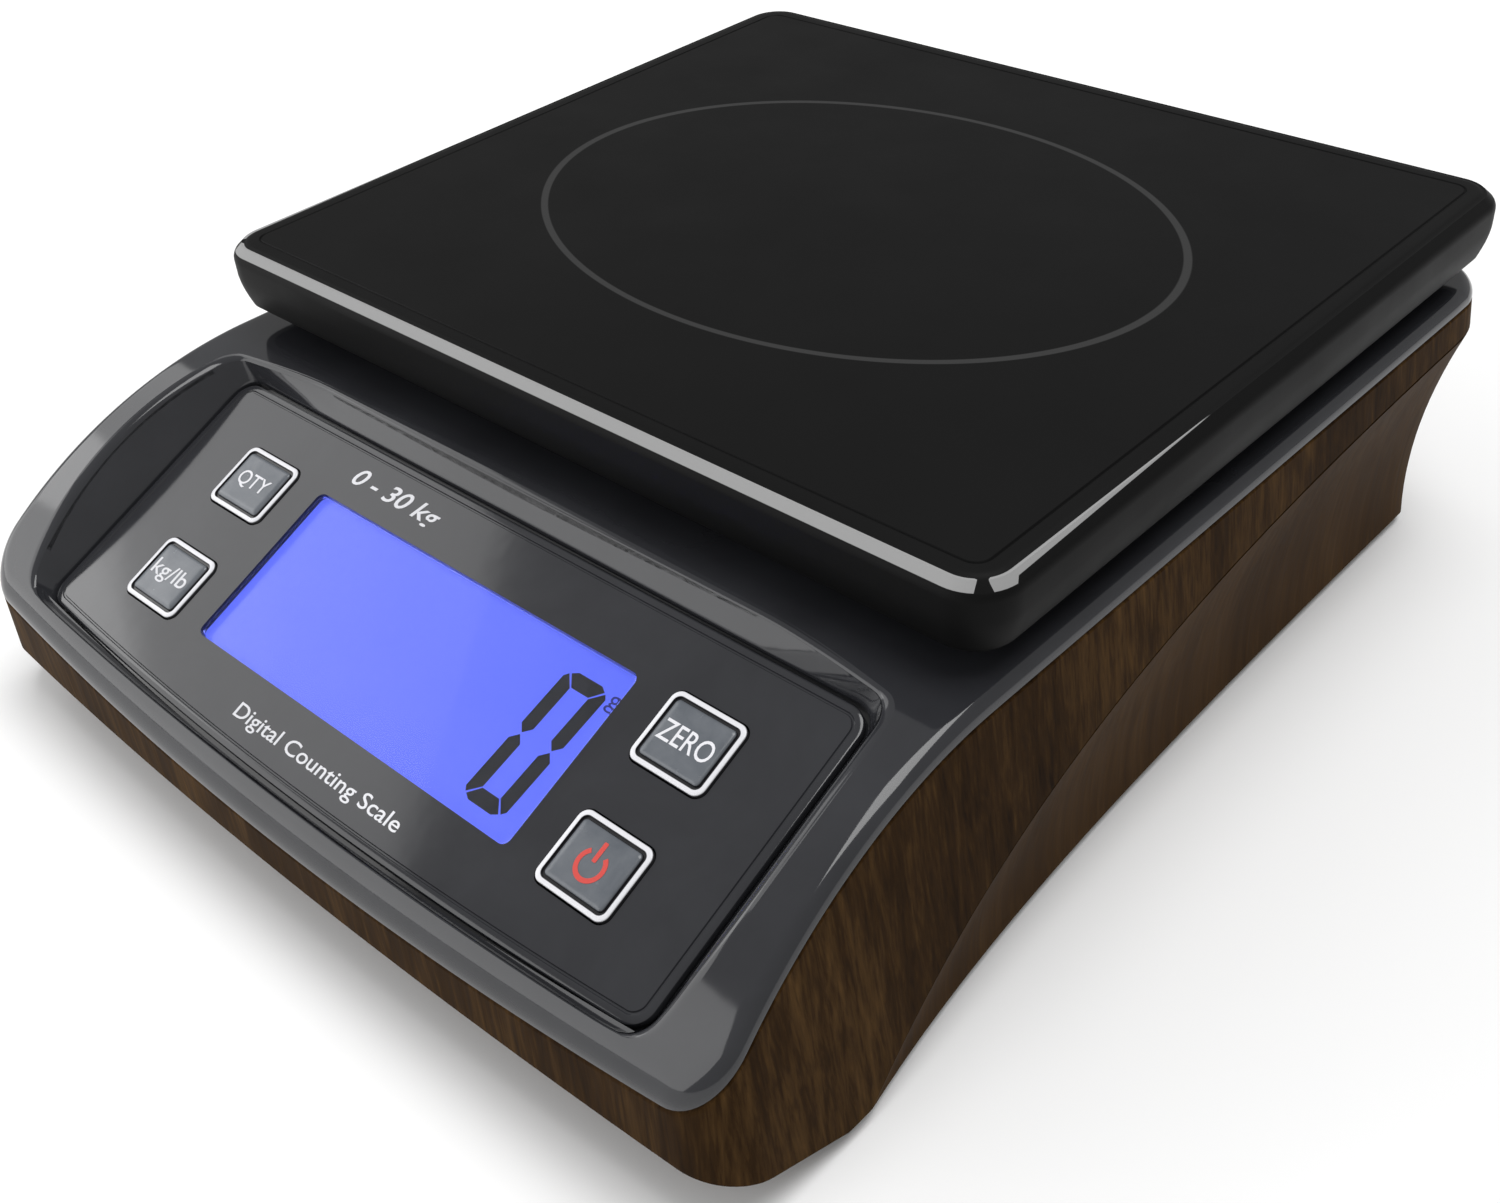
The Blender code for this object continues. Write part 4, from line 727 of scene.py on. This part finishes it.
def key_finish():
    """Grey key: the attribute inset_mm is the distance in from the key's edge, and the pale
    printed outline lies between two of its values. The key's outer edge and the groove round its
    pad are coloured near black as painted shade."""
    look = Finish("key_grey", 0.22, color=(0.10, 0.11, 0.125))
    inset = look.attribute("inset_mm")
    here = look.place()
    grey = look.ramp(look.noise(here, 160.0, 5.0, 0.6, 0.5), (0.3, (0.085, 0.095, 0.110)),
                       (0.75, (0.135, 0.145, 0.160)))
    pale, dark = (0.66, 0.66, 0.69), (0.012, 0.012, 0.014)
    # painted shade: near black at the key's edge and in the groove round the pad, with the pale printed
    # outline between
    border = look.ramp(look.weigh(inset, 0.1), (0.0, (0.02, 0.02, 0.022)), (0.010, pale),
                         (0.078, pale), (0.088, dark), (0.150, dark))
    color = look.mix(look.spread(inset, 0.0, 1.0, 1.42, 1.50), border, grey)
    look.surface(color, look.noise(here, 400.0, 3.0), 0.16, 0.32)
    look.bump(look.noise(here, 900.0, 2.0), 0.00001, 0.4)
    return look.material


def lit_blue():
    """Backlit display: blue light that is a little uneven."""
    look = Finish("lcd", 0.3, color=(0.02, 0.03, 0.20), Emission_Strength=1.0)
    cloud = look.noise(look.place(), 26.0, 3.0, 0.5, 0.5)
    look.feed(look.shader, Emission_Color=look.ramp(cloud, (0.25, (0.090, 0.130, 0.80)),
                                                          (0.75, (0.110, 0.150, 0.88))))
    return look.material


def clear_window():
    """Clear pane that bends light very little, so the display under it stays where it is."""
    look = Finish("clear_window", 0.03, color=(0.95, 0.96, 1.0), Transmission_Weight=1.0, IOR=1.12)
    smear = look.noise(look.place(), 50.0, 4.0)
    look.feed(look.shader, Roughness=look.spread(smear, 0.015, 0.05))
    return look.material


def battery_finish():
    """A wrapped cell: from_cap is the distance from its cap end in millimetres, and picks steel,
    the copper-coloured band, the dark sleeve and steel again."""
    look = Finish("battery_sleeve", 0.28, color=(0.05, 0.06, 0.09))
    steel, copper, sleeve = (0.42, 0.42, 0.41), (0.46, 0.20, 0.07), (0.020, 0.022, 0.030)
    tone = look.ramp(look.weigh(look.attribute("from_cap"), 0.02), (0.0, steel), (0.030, steel),
                       (0.034, copper), (0.28, copper), (0.285, sleeve), (0.985, sleeve), (0.990, steel))
    here = look.place()
    look.surface(tone, look.noise(here, 200.0, 4.0), 0.20, 0.36)
    look.bump(look.noise(here, 700.0, 2.0), 0.00001, 0.3)
    return look.material


PLASTICS = {"rubber": ((0.012, 0.012, 0.012), 0.75, 1500.0, 0.00004),
            "white_plastic": ((0.70, 0.70, 0.66), 0.45),
            "light_guide": ((0.75, 0.77, 0.85), 0.4),
            "board_green": ((0.015, 0.13, 0.045), 0.38, 500.0, 0.00003, 0.35),
            "black_component": ((0.012, 0.012, 0.012), 0.45),
            "grey_lead": ((0.32, 0.32, 0.33), 0.55)}
METALS = {"steel": ((0.56, 0.56, 0.58), 0.30),
          "aluminium": ((0.72, 0.72, 0.74), 0.34, (1.0, 30.0, 1.0)),
          "zinc_plate": ((0.62, 0.62, 0.60), 0.38, (30.0, 1.0, 1.0)),
          "nickel": ((0.68, 0.66, 0.60), 0.24)}
WOODS = {"walnut": (0.52, (0.0075, 0.0034, 0.0011), (0.030, 0.0148, 0.0047), (0.079, 0.042, 0.014)),
         "under_brown": (0.50, (0.025, 0.0123, 0.0043), (0.044, 0.0225, 0.0080), (0.069, 0.037, 0.0138))}
FINISHES = {"gloss_black": gloss_cover(), "matt_black": pan_black(), "key_grey": key_finish(),
            "lcd": lit_blue(), "clear_window": clear_window(), "battery_sleeve": battery_finish()}
for make, table in ((plain_plastic, PLASTICS), (brushed, METALS), (walnut, WOODS)):
    FINISHES.update({slot: make(slot, *values) for slot, values in table.items()})
INK = plain_plastic("display_ink", (0.001, 0.001, 0.002), 0.5)
INK_BLUE = plain_plastic("display_ink_faint", (0.012, 0.014, 0.16), 0.5)
PRINT = plain_plastic("print_white", (0.62, 0.62, 0.65), 0.5)
RED = plain_plastic("print_red", (0.52, 0.045, 0.035), 0.45)


def finish_cad_nodes():
    """The CAD nodes take the finish of their slot."""
    for entry in frame["record"]["subparts"]:
        node = frame["nodes"][entry["node"]]
        node.data.materials.clear()
        node.data.materials.append(FINISHES[entry["material_slot"]])


# -------- panel, keys and display
def prism(name, flat, low, high):
    """A flat outline in panel coordinates between two heights above the panel."""
    return grid_mesh(name, [on_panel(level(flat, n)) for n in (low, high)])


def panel_mesh():
    """The panel plate: a rounded edge, a fine groove just inside it, and openings for the
    window and the four keys."""
    steps = [(0.0003, -PANEL_THICK), (0.0, -PANEL_THICK + 0.0003), (0.0, -0.00035),
             (0.00012, -0.00012), (0.0004, 0.0), (0.0013, 0.0), (0.00145, -0.00022),
             (0.00170, -0.00022), (0.00185, 0.0), (0.010, 0.0)]
    rings = []
    for inset, n in steps:
        flat = rounded_rectangle(PANEL_HALF - inset, PANEL_FRONT + inset, PANEL_REAR - inset,
                                 max(PANEL_CORNER - inset, 0.001), 14, PANEL_BOW)
        rings.append(on_panel(level(flat, n)))
    tools = [prism("window_hole", rounded_rectangle(WINDOW_HALF, -WINDOW_TALL, WINDOW_TALL, 0.0015),
                   -0.01, 0.01)]
    for _, x, v in KEYS:
        flat = rounded_rectangle(KEY_WIDTH / 2 + GAP, v - KEY_HEIGHT / 2 - GAP,
                                 v + KEY_HEIGHT / 2 + GAP, 0.0021) + [x, 0.0]
        tools.append(prism("key_hole", flat, -0.01, 0.01))
    return combined(grid_mesh("plate", rings), tools)


def key_mesh(x, v):
    """A key: skirt, a flat border for the printed outline, a groove, and a raised pad with
    soft shoulders. inset_mm records how far in from the edge each row lies."""
    steps = [(0.0, -0.0036), (0.0, 0.00030), (0.00008, 0.00042), (0.00022, 0.00050),
             (0.00080, 0.00050), (0.00090, 0.00050), (0.00100, 0.00012), (0.00135, 0.00012),
             (0.00145, 0.00048), (0.00165, 0.00066), (0.00200, 0.00076), (0.0026, KEY_TOP),
             (0.0055, KEY_TOP)]
    rings, insets = [], []
    for inset, n in steps:
        flat = rounded_rectangle(KEY_WIDTH / 2 - inset, v - KEY_HEIGHT / 2 + inset,
                                 v + KEY_HEIGHT / 2 - inset, max(0.0018 - inset * 0.7, 0.0004), 8)
        rings.append(on_panel(level(flat + [x, 0.0], n)))
        insets.append(np.full(len(flat), inset * 1000))
    return grid_mesh("key", rings, extra={"inset_mm": insets})


def words(name, text, x, v, n, tall, wide, body, material, lean=0.0, bold=0.0):
    """Raised lettering on the panel: a flat text turned into a mesh, scaled to its height and
    its width, and then laid with its middle at x, v."""
    curve = bpy.data.curves.new(name, "FONT")
    curve.body = text
    curve.size = 1.0
    curve.shear = lean
    curve.offset = bold
    curve.resolution_u = 4
    flat = settled(placed(name + "_text", curve))
    shape = bmesh.new()
    shape.from_mesh(flat)
    bmesh.ops.remove_doubles(shape, verts=shape.verts, dist=1e-5)
    made = bmesh.ops.extrude_face_region(shape, geom=list(shape.faces))
    moved = [item for item in made["geom"] if isinstance(item, bmesh.types.BMVert)]
    bmesh.ops.translate(shape, verts=moved, vec=(0, 0, 1))
    bmesh.ops.recalc_face_normals(shape, faces=shape.faces)
    order = Vector((0.731, 1.937, 5.113))
    shape.verts.sort(key=lambda vert: vert.co.dot(order))
    shape.faces.sort(key=lambda face: face.calc_center_median().dot(order))
    shape.to_mesh(flat)
    shape.free()
    co = np.zeros(len(flat.vertices) * 3)
    flat.vertices.foreach_get("co", co)
    co = co.reshape(-1, 3)
    low, high = co.min(axis=0), co.max(axis=0)
    co = (co - (low + high) / 2) / (high - low) * [wide, tall, PRINT_THICK]
    co = on_panel(co + [x, v, n + PRINT_THICK / 2])
    flat.vertices.foreach_set("co", co.ravel())
    flat.update()
    return put(name, flat, body, "white_plastic", material)


def power_mark(name, x, v, n, body):
    """The on-off sign: three quarters of a ring, open at the top, and an upright bar."""
    outer, inner, half_opening = 0.0028, 0.0020, 38
    turn = np.radians(np.linspace(90 + half_opening, 450 - half_opening, 40))
    ring = [level(np.column_stack([x + radius * np.cos(turn), v - 0.0004 + radius * np.sin(turn)]),
                  n + height)
            for radius, height in ((outer, 0.0), (outer, PRINT_THICK), (inner, PRINT_THICK), (inner, 0.0))]
    put(name, grid_mesh(name, on_panel(np.stack(ring, axis=1))), body, "key_grey", RED)
    flat = rounded_rectangle(0.00040, v + 0.0002, v + 0.0036, 0.0002, 4) + [x, 0.0]
    put(name + "_bar", prism(name + "_bar", flat, n, n + PRINT_THICK), body, "key_grey", RED)


def segment_outlines(width, height, thick, gap):
    """Corner points of the six lit bars of a nought: bars mitred at the corners, and uprights
    pointed at the middle."""
    w, h, t, g = width / 2, height / 2, thick, gap
    upright = [(-w, h - 0.6 * t), (-w + 0.25 * t, h - 0.32 * t), (-w + t, h - t - g),
               (-w + t, t * 0.5 + g), (-w + t / 2, g), (-w, t * 0.5 + g)]
    top = [(-w + 0.32 * t + g, h - 0.25 * t), (-w + 0.8 * t, h), (w - 0.8 * t, h),
           (w - 0.32 * t - g, h - 0.25 * t), (w - t - g, h - t), (-w + t + g, h - t)]
    shapes = []
    for bar, side in ((upright, 1), (upright, -1), (top, 1)):
        for end in (1, -1):
            points = [(side * px, end * py) for px, py in bar]
            shapes.append(points if side * end > 0 else points[::-1])
    return shapes


def digit(x, v, n, slant):
    """The nought on the display, each bar a thin raised plate, leaned by slant."""
    for number, points in enumerate(segment_outlines(0.0096, 0.0258, 0.0027, 0.00018)):
        flat = np.array(points)
        flat = np.column_stack([x + flat[:, 0] + slant * flat[:, 1], v + flat[:, 1]])
        name = f"digit_bar_{number}"
        put(name, prism(name, flat, n, n + 0.00004), "base", "lcd", INK)


def make_panel():
    """The panel plate, the keys and all that is printed on them."""
    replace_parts(put("panel_plate", panel_mesh(), "base", "gloss_black"), "display_panel")
    labels = {"count": ("QTY", 0.0036, 0.0084), "unit": ("kg/lb", 0.0042, 0.0100),
              "zero": ("ZERO", 0.0036, 0.0104)}
    for name, x, v in KEYS:
        key = put("keycap_" + name, key_mesh(x, v), "key_" + name, "key_grey")
        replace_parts(key, "key_" + name)
        if name in labels:
            text, tall, wide = labels[name]
            words("legend_" + name, text, x, v, KEY_TOP, tall, wide, "key_" + name, PRINT, bold=0.004)
    power_mark("legend_power", KEY_X, -KEY_V, KEY_TOP, "key_power")
    words("name_line", "Digital Counting Scale", 0.001, -0.0233, 0.0, 0.0036, 0.0440, "base", PRINT,
          bold=0.006)
    words("capacity_line", "0 - 30 kg", -0.0255, 0.0218, 0.0, 0.0046, 0.0235, "base", PRINT,
          lean=0.25, bold=0.012)


def make_display():
    """The window, the lit face under it, and the dark marks on the face."""
    flat = rounded_rectangle(WINDOW_HALF - GAP, -WINDOW_TALL + GAP, WINDOW_TALL - GAP, 0.0015, 8)
    window = put("window_pane", prism("pane", flat, -0.0009, -0.0002), "base", "clear_window")
    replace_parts(window, "display_window")
    flat = rounded_rectangle(WINDOW_HALF + 0.002, -WINDOW_TALL - 0.002, WINDOW_TALL + 0.002, 0.0005, 4)
    face = put("display_face", prism("face", flat, -0.0036, LCD_TOP), "base", "lcd")
    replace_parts(face, "lcd_glass")
    digit(0.0322, -0.0006, LCD_TOP, 0.06)
    words("unit_mark", "g", 0.0393, 0.0106, LCD_TOP, 0.0030, 0.0021, "base", INK_BLUE)


# -------- underside, batteries and inlet
def cross_screw(name, place, radius, shank, low, high, tip):
    """A pan-head screw with its head down: a domed head, a shank and a cross cut into the head."""
    x, y = place
    turn = np.linspace(0, math.pi / 2, 7)
    dome = [(radius * math.sin(a), low + (high - low) * 0.6 * (1 - math.cos(a))) for a in turn]
    screw = lathe("screw", dome + [(radius, high), (shank, high), (shank, tip - shank),
                                   (shank * 0.4, tip), (0.0, tip)], place)
    reach, half = radius * 0.62, radius * 0.14
    cuts = [cuboid((x - wide, y - deep, low - 0.001), (x + wide, y + deep, low + 0.0012))
            for wide, deep in ((reach, half), (half, reach))]
    return put(name, combined(screw, cuts), "base", "steel")


def door_mesh():
    """The battery door: a softened plate with a row of grip grooves, a slot on each side of its
    latch tongue, and an arrow cut as a shallow triangle."""
    low, high, (x, _, _) = box_of("battery_door")
    front, bottom = low[1], low[2]
    cuts = [block("grip", (x - 0.009, front + 0.0022 + 0.0022 * step, bottom - 0.001),
                  (x + 0.009, front + 0.0032 + 0.0022 * step, bottom + 0.0005), 0.0002, 0.0004)
            for step in range(5)]
    cuts += [cuboid((x + side * 0.0115 - 0.0004, front - 0.001, bottom - 0.001),
                    (x + side * 0.0115 + 0.0004, front + 0.011, high[2] + 0.001)) for side in (-1, 1)]
    tip = [(x - 0.003, front + 0.0200), (x, front + 0.0155), (x + 0.003, front + 0.0200)]
    cuts.append(grid_mesh("arrow", [level(tip, z) for z in (bottom - 0.001, bottom + 0.0004)]))
    return combined(block("door", low, high, 0.0004, 0.0012), cuts)


def battery_mesh(number):
    """A cell along Y with rounded shoulders, a dished foot and a stepped cap. Every other cell
    faces backwards."""
    low, high, (x, _, _) = box_of(f"battery_{number}")
    radius, length = CELL_RADIUS, high[1] - low[1]
    turn = np.linspace(0, math.pi / 2, 6)
    rows = [(0.0, 0.0), (0.0022, 0.0), (0.0027, 0.0005), (0.0027, 0.0013), (0.0032, 0.0015)]
    rows += [(radius - 0.0008 * (1 - math.sin(a)), 0.0015 + 0.0008 * (1 - math.cos(a))) for a in turn]
    rows += [(radius, 0.014), (radius, 0.030)]
    rows += [(radius - 0.0008 * (1 - math.cos(a)), length - 0.0008 * (1 - math.sin(a))) for a in turn]
    rows += [(0.0048, length), (0.0044, length - 0.0003), (0.0, length - 0.0003)]
    rows = np.array(rows)
    away = np.repeat(rows[:, 1:] * 1000, 48, axis=1)
    rows[:, 1] = high[1] - rows[:, 1] if number % 2 == 1 else low[1] + rows[:, 1]
    return lathe("cell", rows, (x, CELL_Z), axis=1, extra={"from_cap": away})


def jack_mesh():
    """The inlet, a block inside the wall with a flared neck through it, and the pin in its bore."""
    low, high, middle = box_of("dc_jack")
    centre, end = middle[::2], high[1]
    inner = end - WALL - 0.0016
    body = block("inlet_body", low, (high[0], inner, high[2]), 0.0003, 0.0004)
    neck = [(0.0, inner - 0.001), (0.0038, inner - 0.001), (0.0038, end - 0.0003), (0.0035, end),
            (0.0, end)]
    bore = [(0.0, end - 0.0095), (0.00275, end - 0.0095), (0.00275, end - 0.0004),
            (0.0031, end + 0.0002), (0.0031, end + 0.002), (0.0, end + 0.002)]
    pin = [(0.0, end - 0.0100), (0.00095, end - 0.0100), (0.00095, end - 0.0018),
           (0.0006, end - 0.0012), (0.0, end - 0.0012)]
    neck, bore, pin = (lathe("turned", profile, centre, axis=1) for profile in (neck, bore, pin))
    return combined(combined(body, [neck], "UNION"), [bore]), pin


def load_cell_mesh():
    """The bar load cell: a soft-edged block with two round holes joined by a slot, which leave
    the thin webs that bend, and four screw holes."""
    low, high, (_, y, z) = box_of("load_cell")
    cuts = [rod(0.0042, -0.01, 0.01, (y + side * 0.0075, z), axis=0) for side in (-1, 1)]
    cuts.append(cuboid((-0.01, y - 0.0075, z - 0.001), (0.01, y + 0.0075, z + 0.001)))
    cuts += [rod(0.0024, 0.0, 0.04, (0.0, place)) for place in LIVE_SCREWS + FIXED_SCREWS]
    return combined(block("bar", low, high, 0.0003, 0.0004), cuts)


def make_load_cell():
    """It is screwed to the base at its rear end and carries the platform at its front end, so
    its middle bends between the two."""
    cell = put("load_cell_bar", load_cell_mesh(), None, "aluminium")
    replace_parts(cell, "load_cell")
    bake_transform(cell)


def make_underside():
    """The housing, door, screws, feet, batteries and inlet."""
    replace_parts(put("housing_shell", housing_mesh(), "base", "under_brown"), "lower_housing")
    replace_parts(put("door_plate", door_mesh(), "battery_door", "under_brown"), "battery_door")
    names = ("front_right", "front_left", "rear_right", "rear_left")
    for name, place in zip(names, CASE_SCREWS):
        screw = cross_screw("housing_screw_" + name, place, 0.0028, 0.0014, 0.0030, 0.0050, 0.0240)
        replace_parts(screw, "case_screw_" + name)
    for name, y in zip(("front", "rear"), FIXED_SCREWS):
        low, high, _ = box_of("fixed_screw_" + name)
        screw = cross_screw("cell_screw_" + name, (0.0, y), 0.0035, 0.0020, low[2], low[2] + 0.0028,
                            high[2])
        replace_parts(screw, "fixed_screw_" + name)
    for name in names:
        _, high, middle = box_of("foot_" + name)
        profile = [(0.0, 0.0006), (0.0042, 0.0006), (0.0048, 0.0), (0.0068, 0.0), (0.0076, 0.0003),
                   (0.0080, 0.0009), (0.0080, high[2]), (0.0, high[2])]
        pad = put("foot_pad_" + name, lathe("foot", profile, middle), "base", "rubber")
        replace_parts(pad, "foot_" + name)
    for number in range(1, 5):
        cell = put(f"cell_{number}", battery_mesh(number), "base", "battery_sleeve")
        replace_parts(cell, f"battery_{number}")
    jack, pin = jack_mesh()
    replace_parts(put("inlet_body", jack, "base", "black_component"), "dc_jack")
    put("inlet_pin", pin, "base", "nickel")


# -------- light, floor and camera
def area_light(name, place, target, size, power):
    """A white rectangular lamp that faces the target."""
    light = bpy.data.lights.new(name, "AREA")
    light.shape = "RECTANGLE"
    light.size, light.size_y = size
    light.energy = power
    made = placed(name, light)
    made.location = place
    made.rotation_euler = (Vector(target) - Vector(place)).to_track_quat("-Z", "Y").to_euler()


def make_studio():
    """Even white surroundings, three lamps and a white floor just under the feet."""
    world = bpy.data.worlds.new("studio")
    bpy.context.scene.world = world
    world.use_nodes = True
    sky = world.node_tree.nodes["Background"]
    sky.inputs["Color"].default_value = (1.0, 1.0, 1.0, 1.0)
    sky.inputs["Strength"].default_value = 0.42
    area_light("low_left", (-0.85, -1.05, 0.50), (0.0, -0.03, 0.04), (2.00, 1.00), 12.5)
    area_light("left", (-1.15, -0.20, 0.85), (0.0, -0.05, 0.03), (0.8, 0.6), 2.6)
    area_light("top", (0.25, 0.30, 1.7), (0.0, 0.0, 0.0), (1.2, 1.2), 24.0)
    bpy.context.scene.view_settings.view_transform = "Standard"
    mesh = bpy.data.meshes.new("floor")
    half = 6.0
    mesh.from_pydata([(-half, -half, 0), (half, -half, 0), (half, half, 0), (-half, half, 0)],
                     [], [(0, 1, 2, 3)])
    floor = placed("floor", mesh)
    floor.location.z = -0.0002
    mesh.materials.append(Finish("paper", 0.9, color=(0.88, 0.88, 0.88), Specular_IOR_Level=0.1).material)


def make_camera():
    """The eye's place and the three directions of its frame, from the object's own corners."""
    camera = bpy.data.cameras.new("camera")
    made = placed("camera", camera)
    right = Vector((0.7323, 0.6781, -0.0619))
    up = Vector((-0.3747, 0.4772, 0.7949))
    turn = Matrix((right, up, right.cross(up))).transposed().to_4x4()
    made.matrix_world = Matrix.Translation((0.2000, -0.1975, 0.2125)) @ turn
    camera.sensor_width = 36.0
    camera.lens = 41.68
    camera.shift_x = -0.0024
    camera.shift_y = -0.0044
    camera.clip_start = 0.01
    bpy.context.scene.camera = made


# -------- build
finish_cad_nodes()
make_studio()
make_camera()
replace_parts(put("cover_shell", cover_mesh(), "base", "gloss_black"), "top_cover")
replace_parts(put("side_band", band_mesh(), "base", "walnut"), "side_body")
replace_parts(put("pan_shell", pan_mesh(), "platform", "matt_black"), "weighing_pan")
make_panel()
make_display()
make_underside()
make_load_cell()
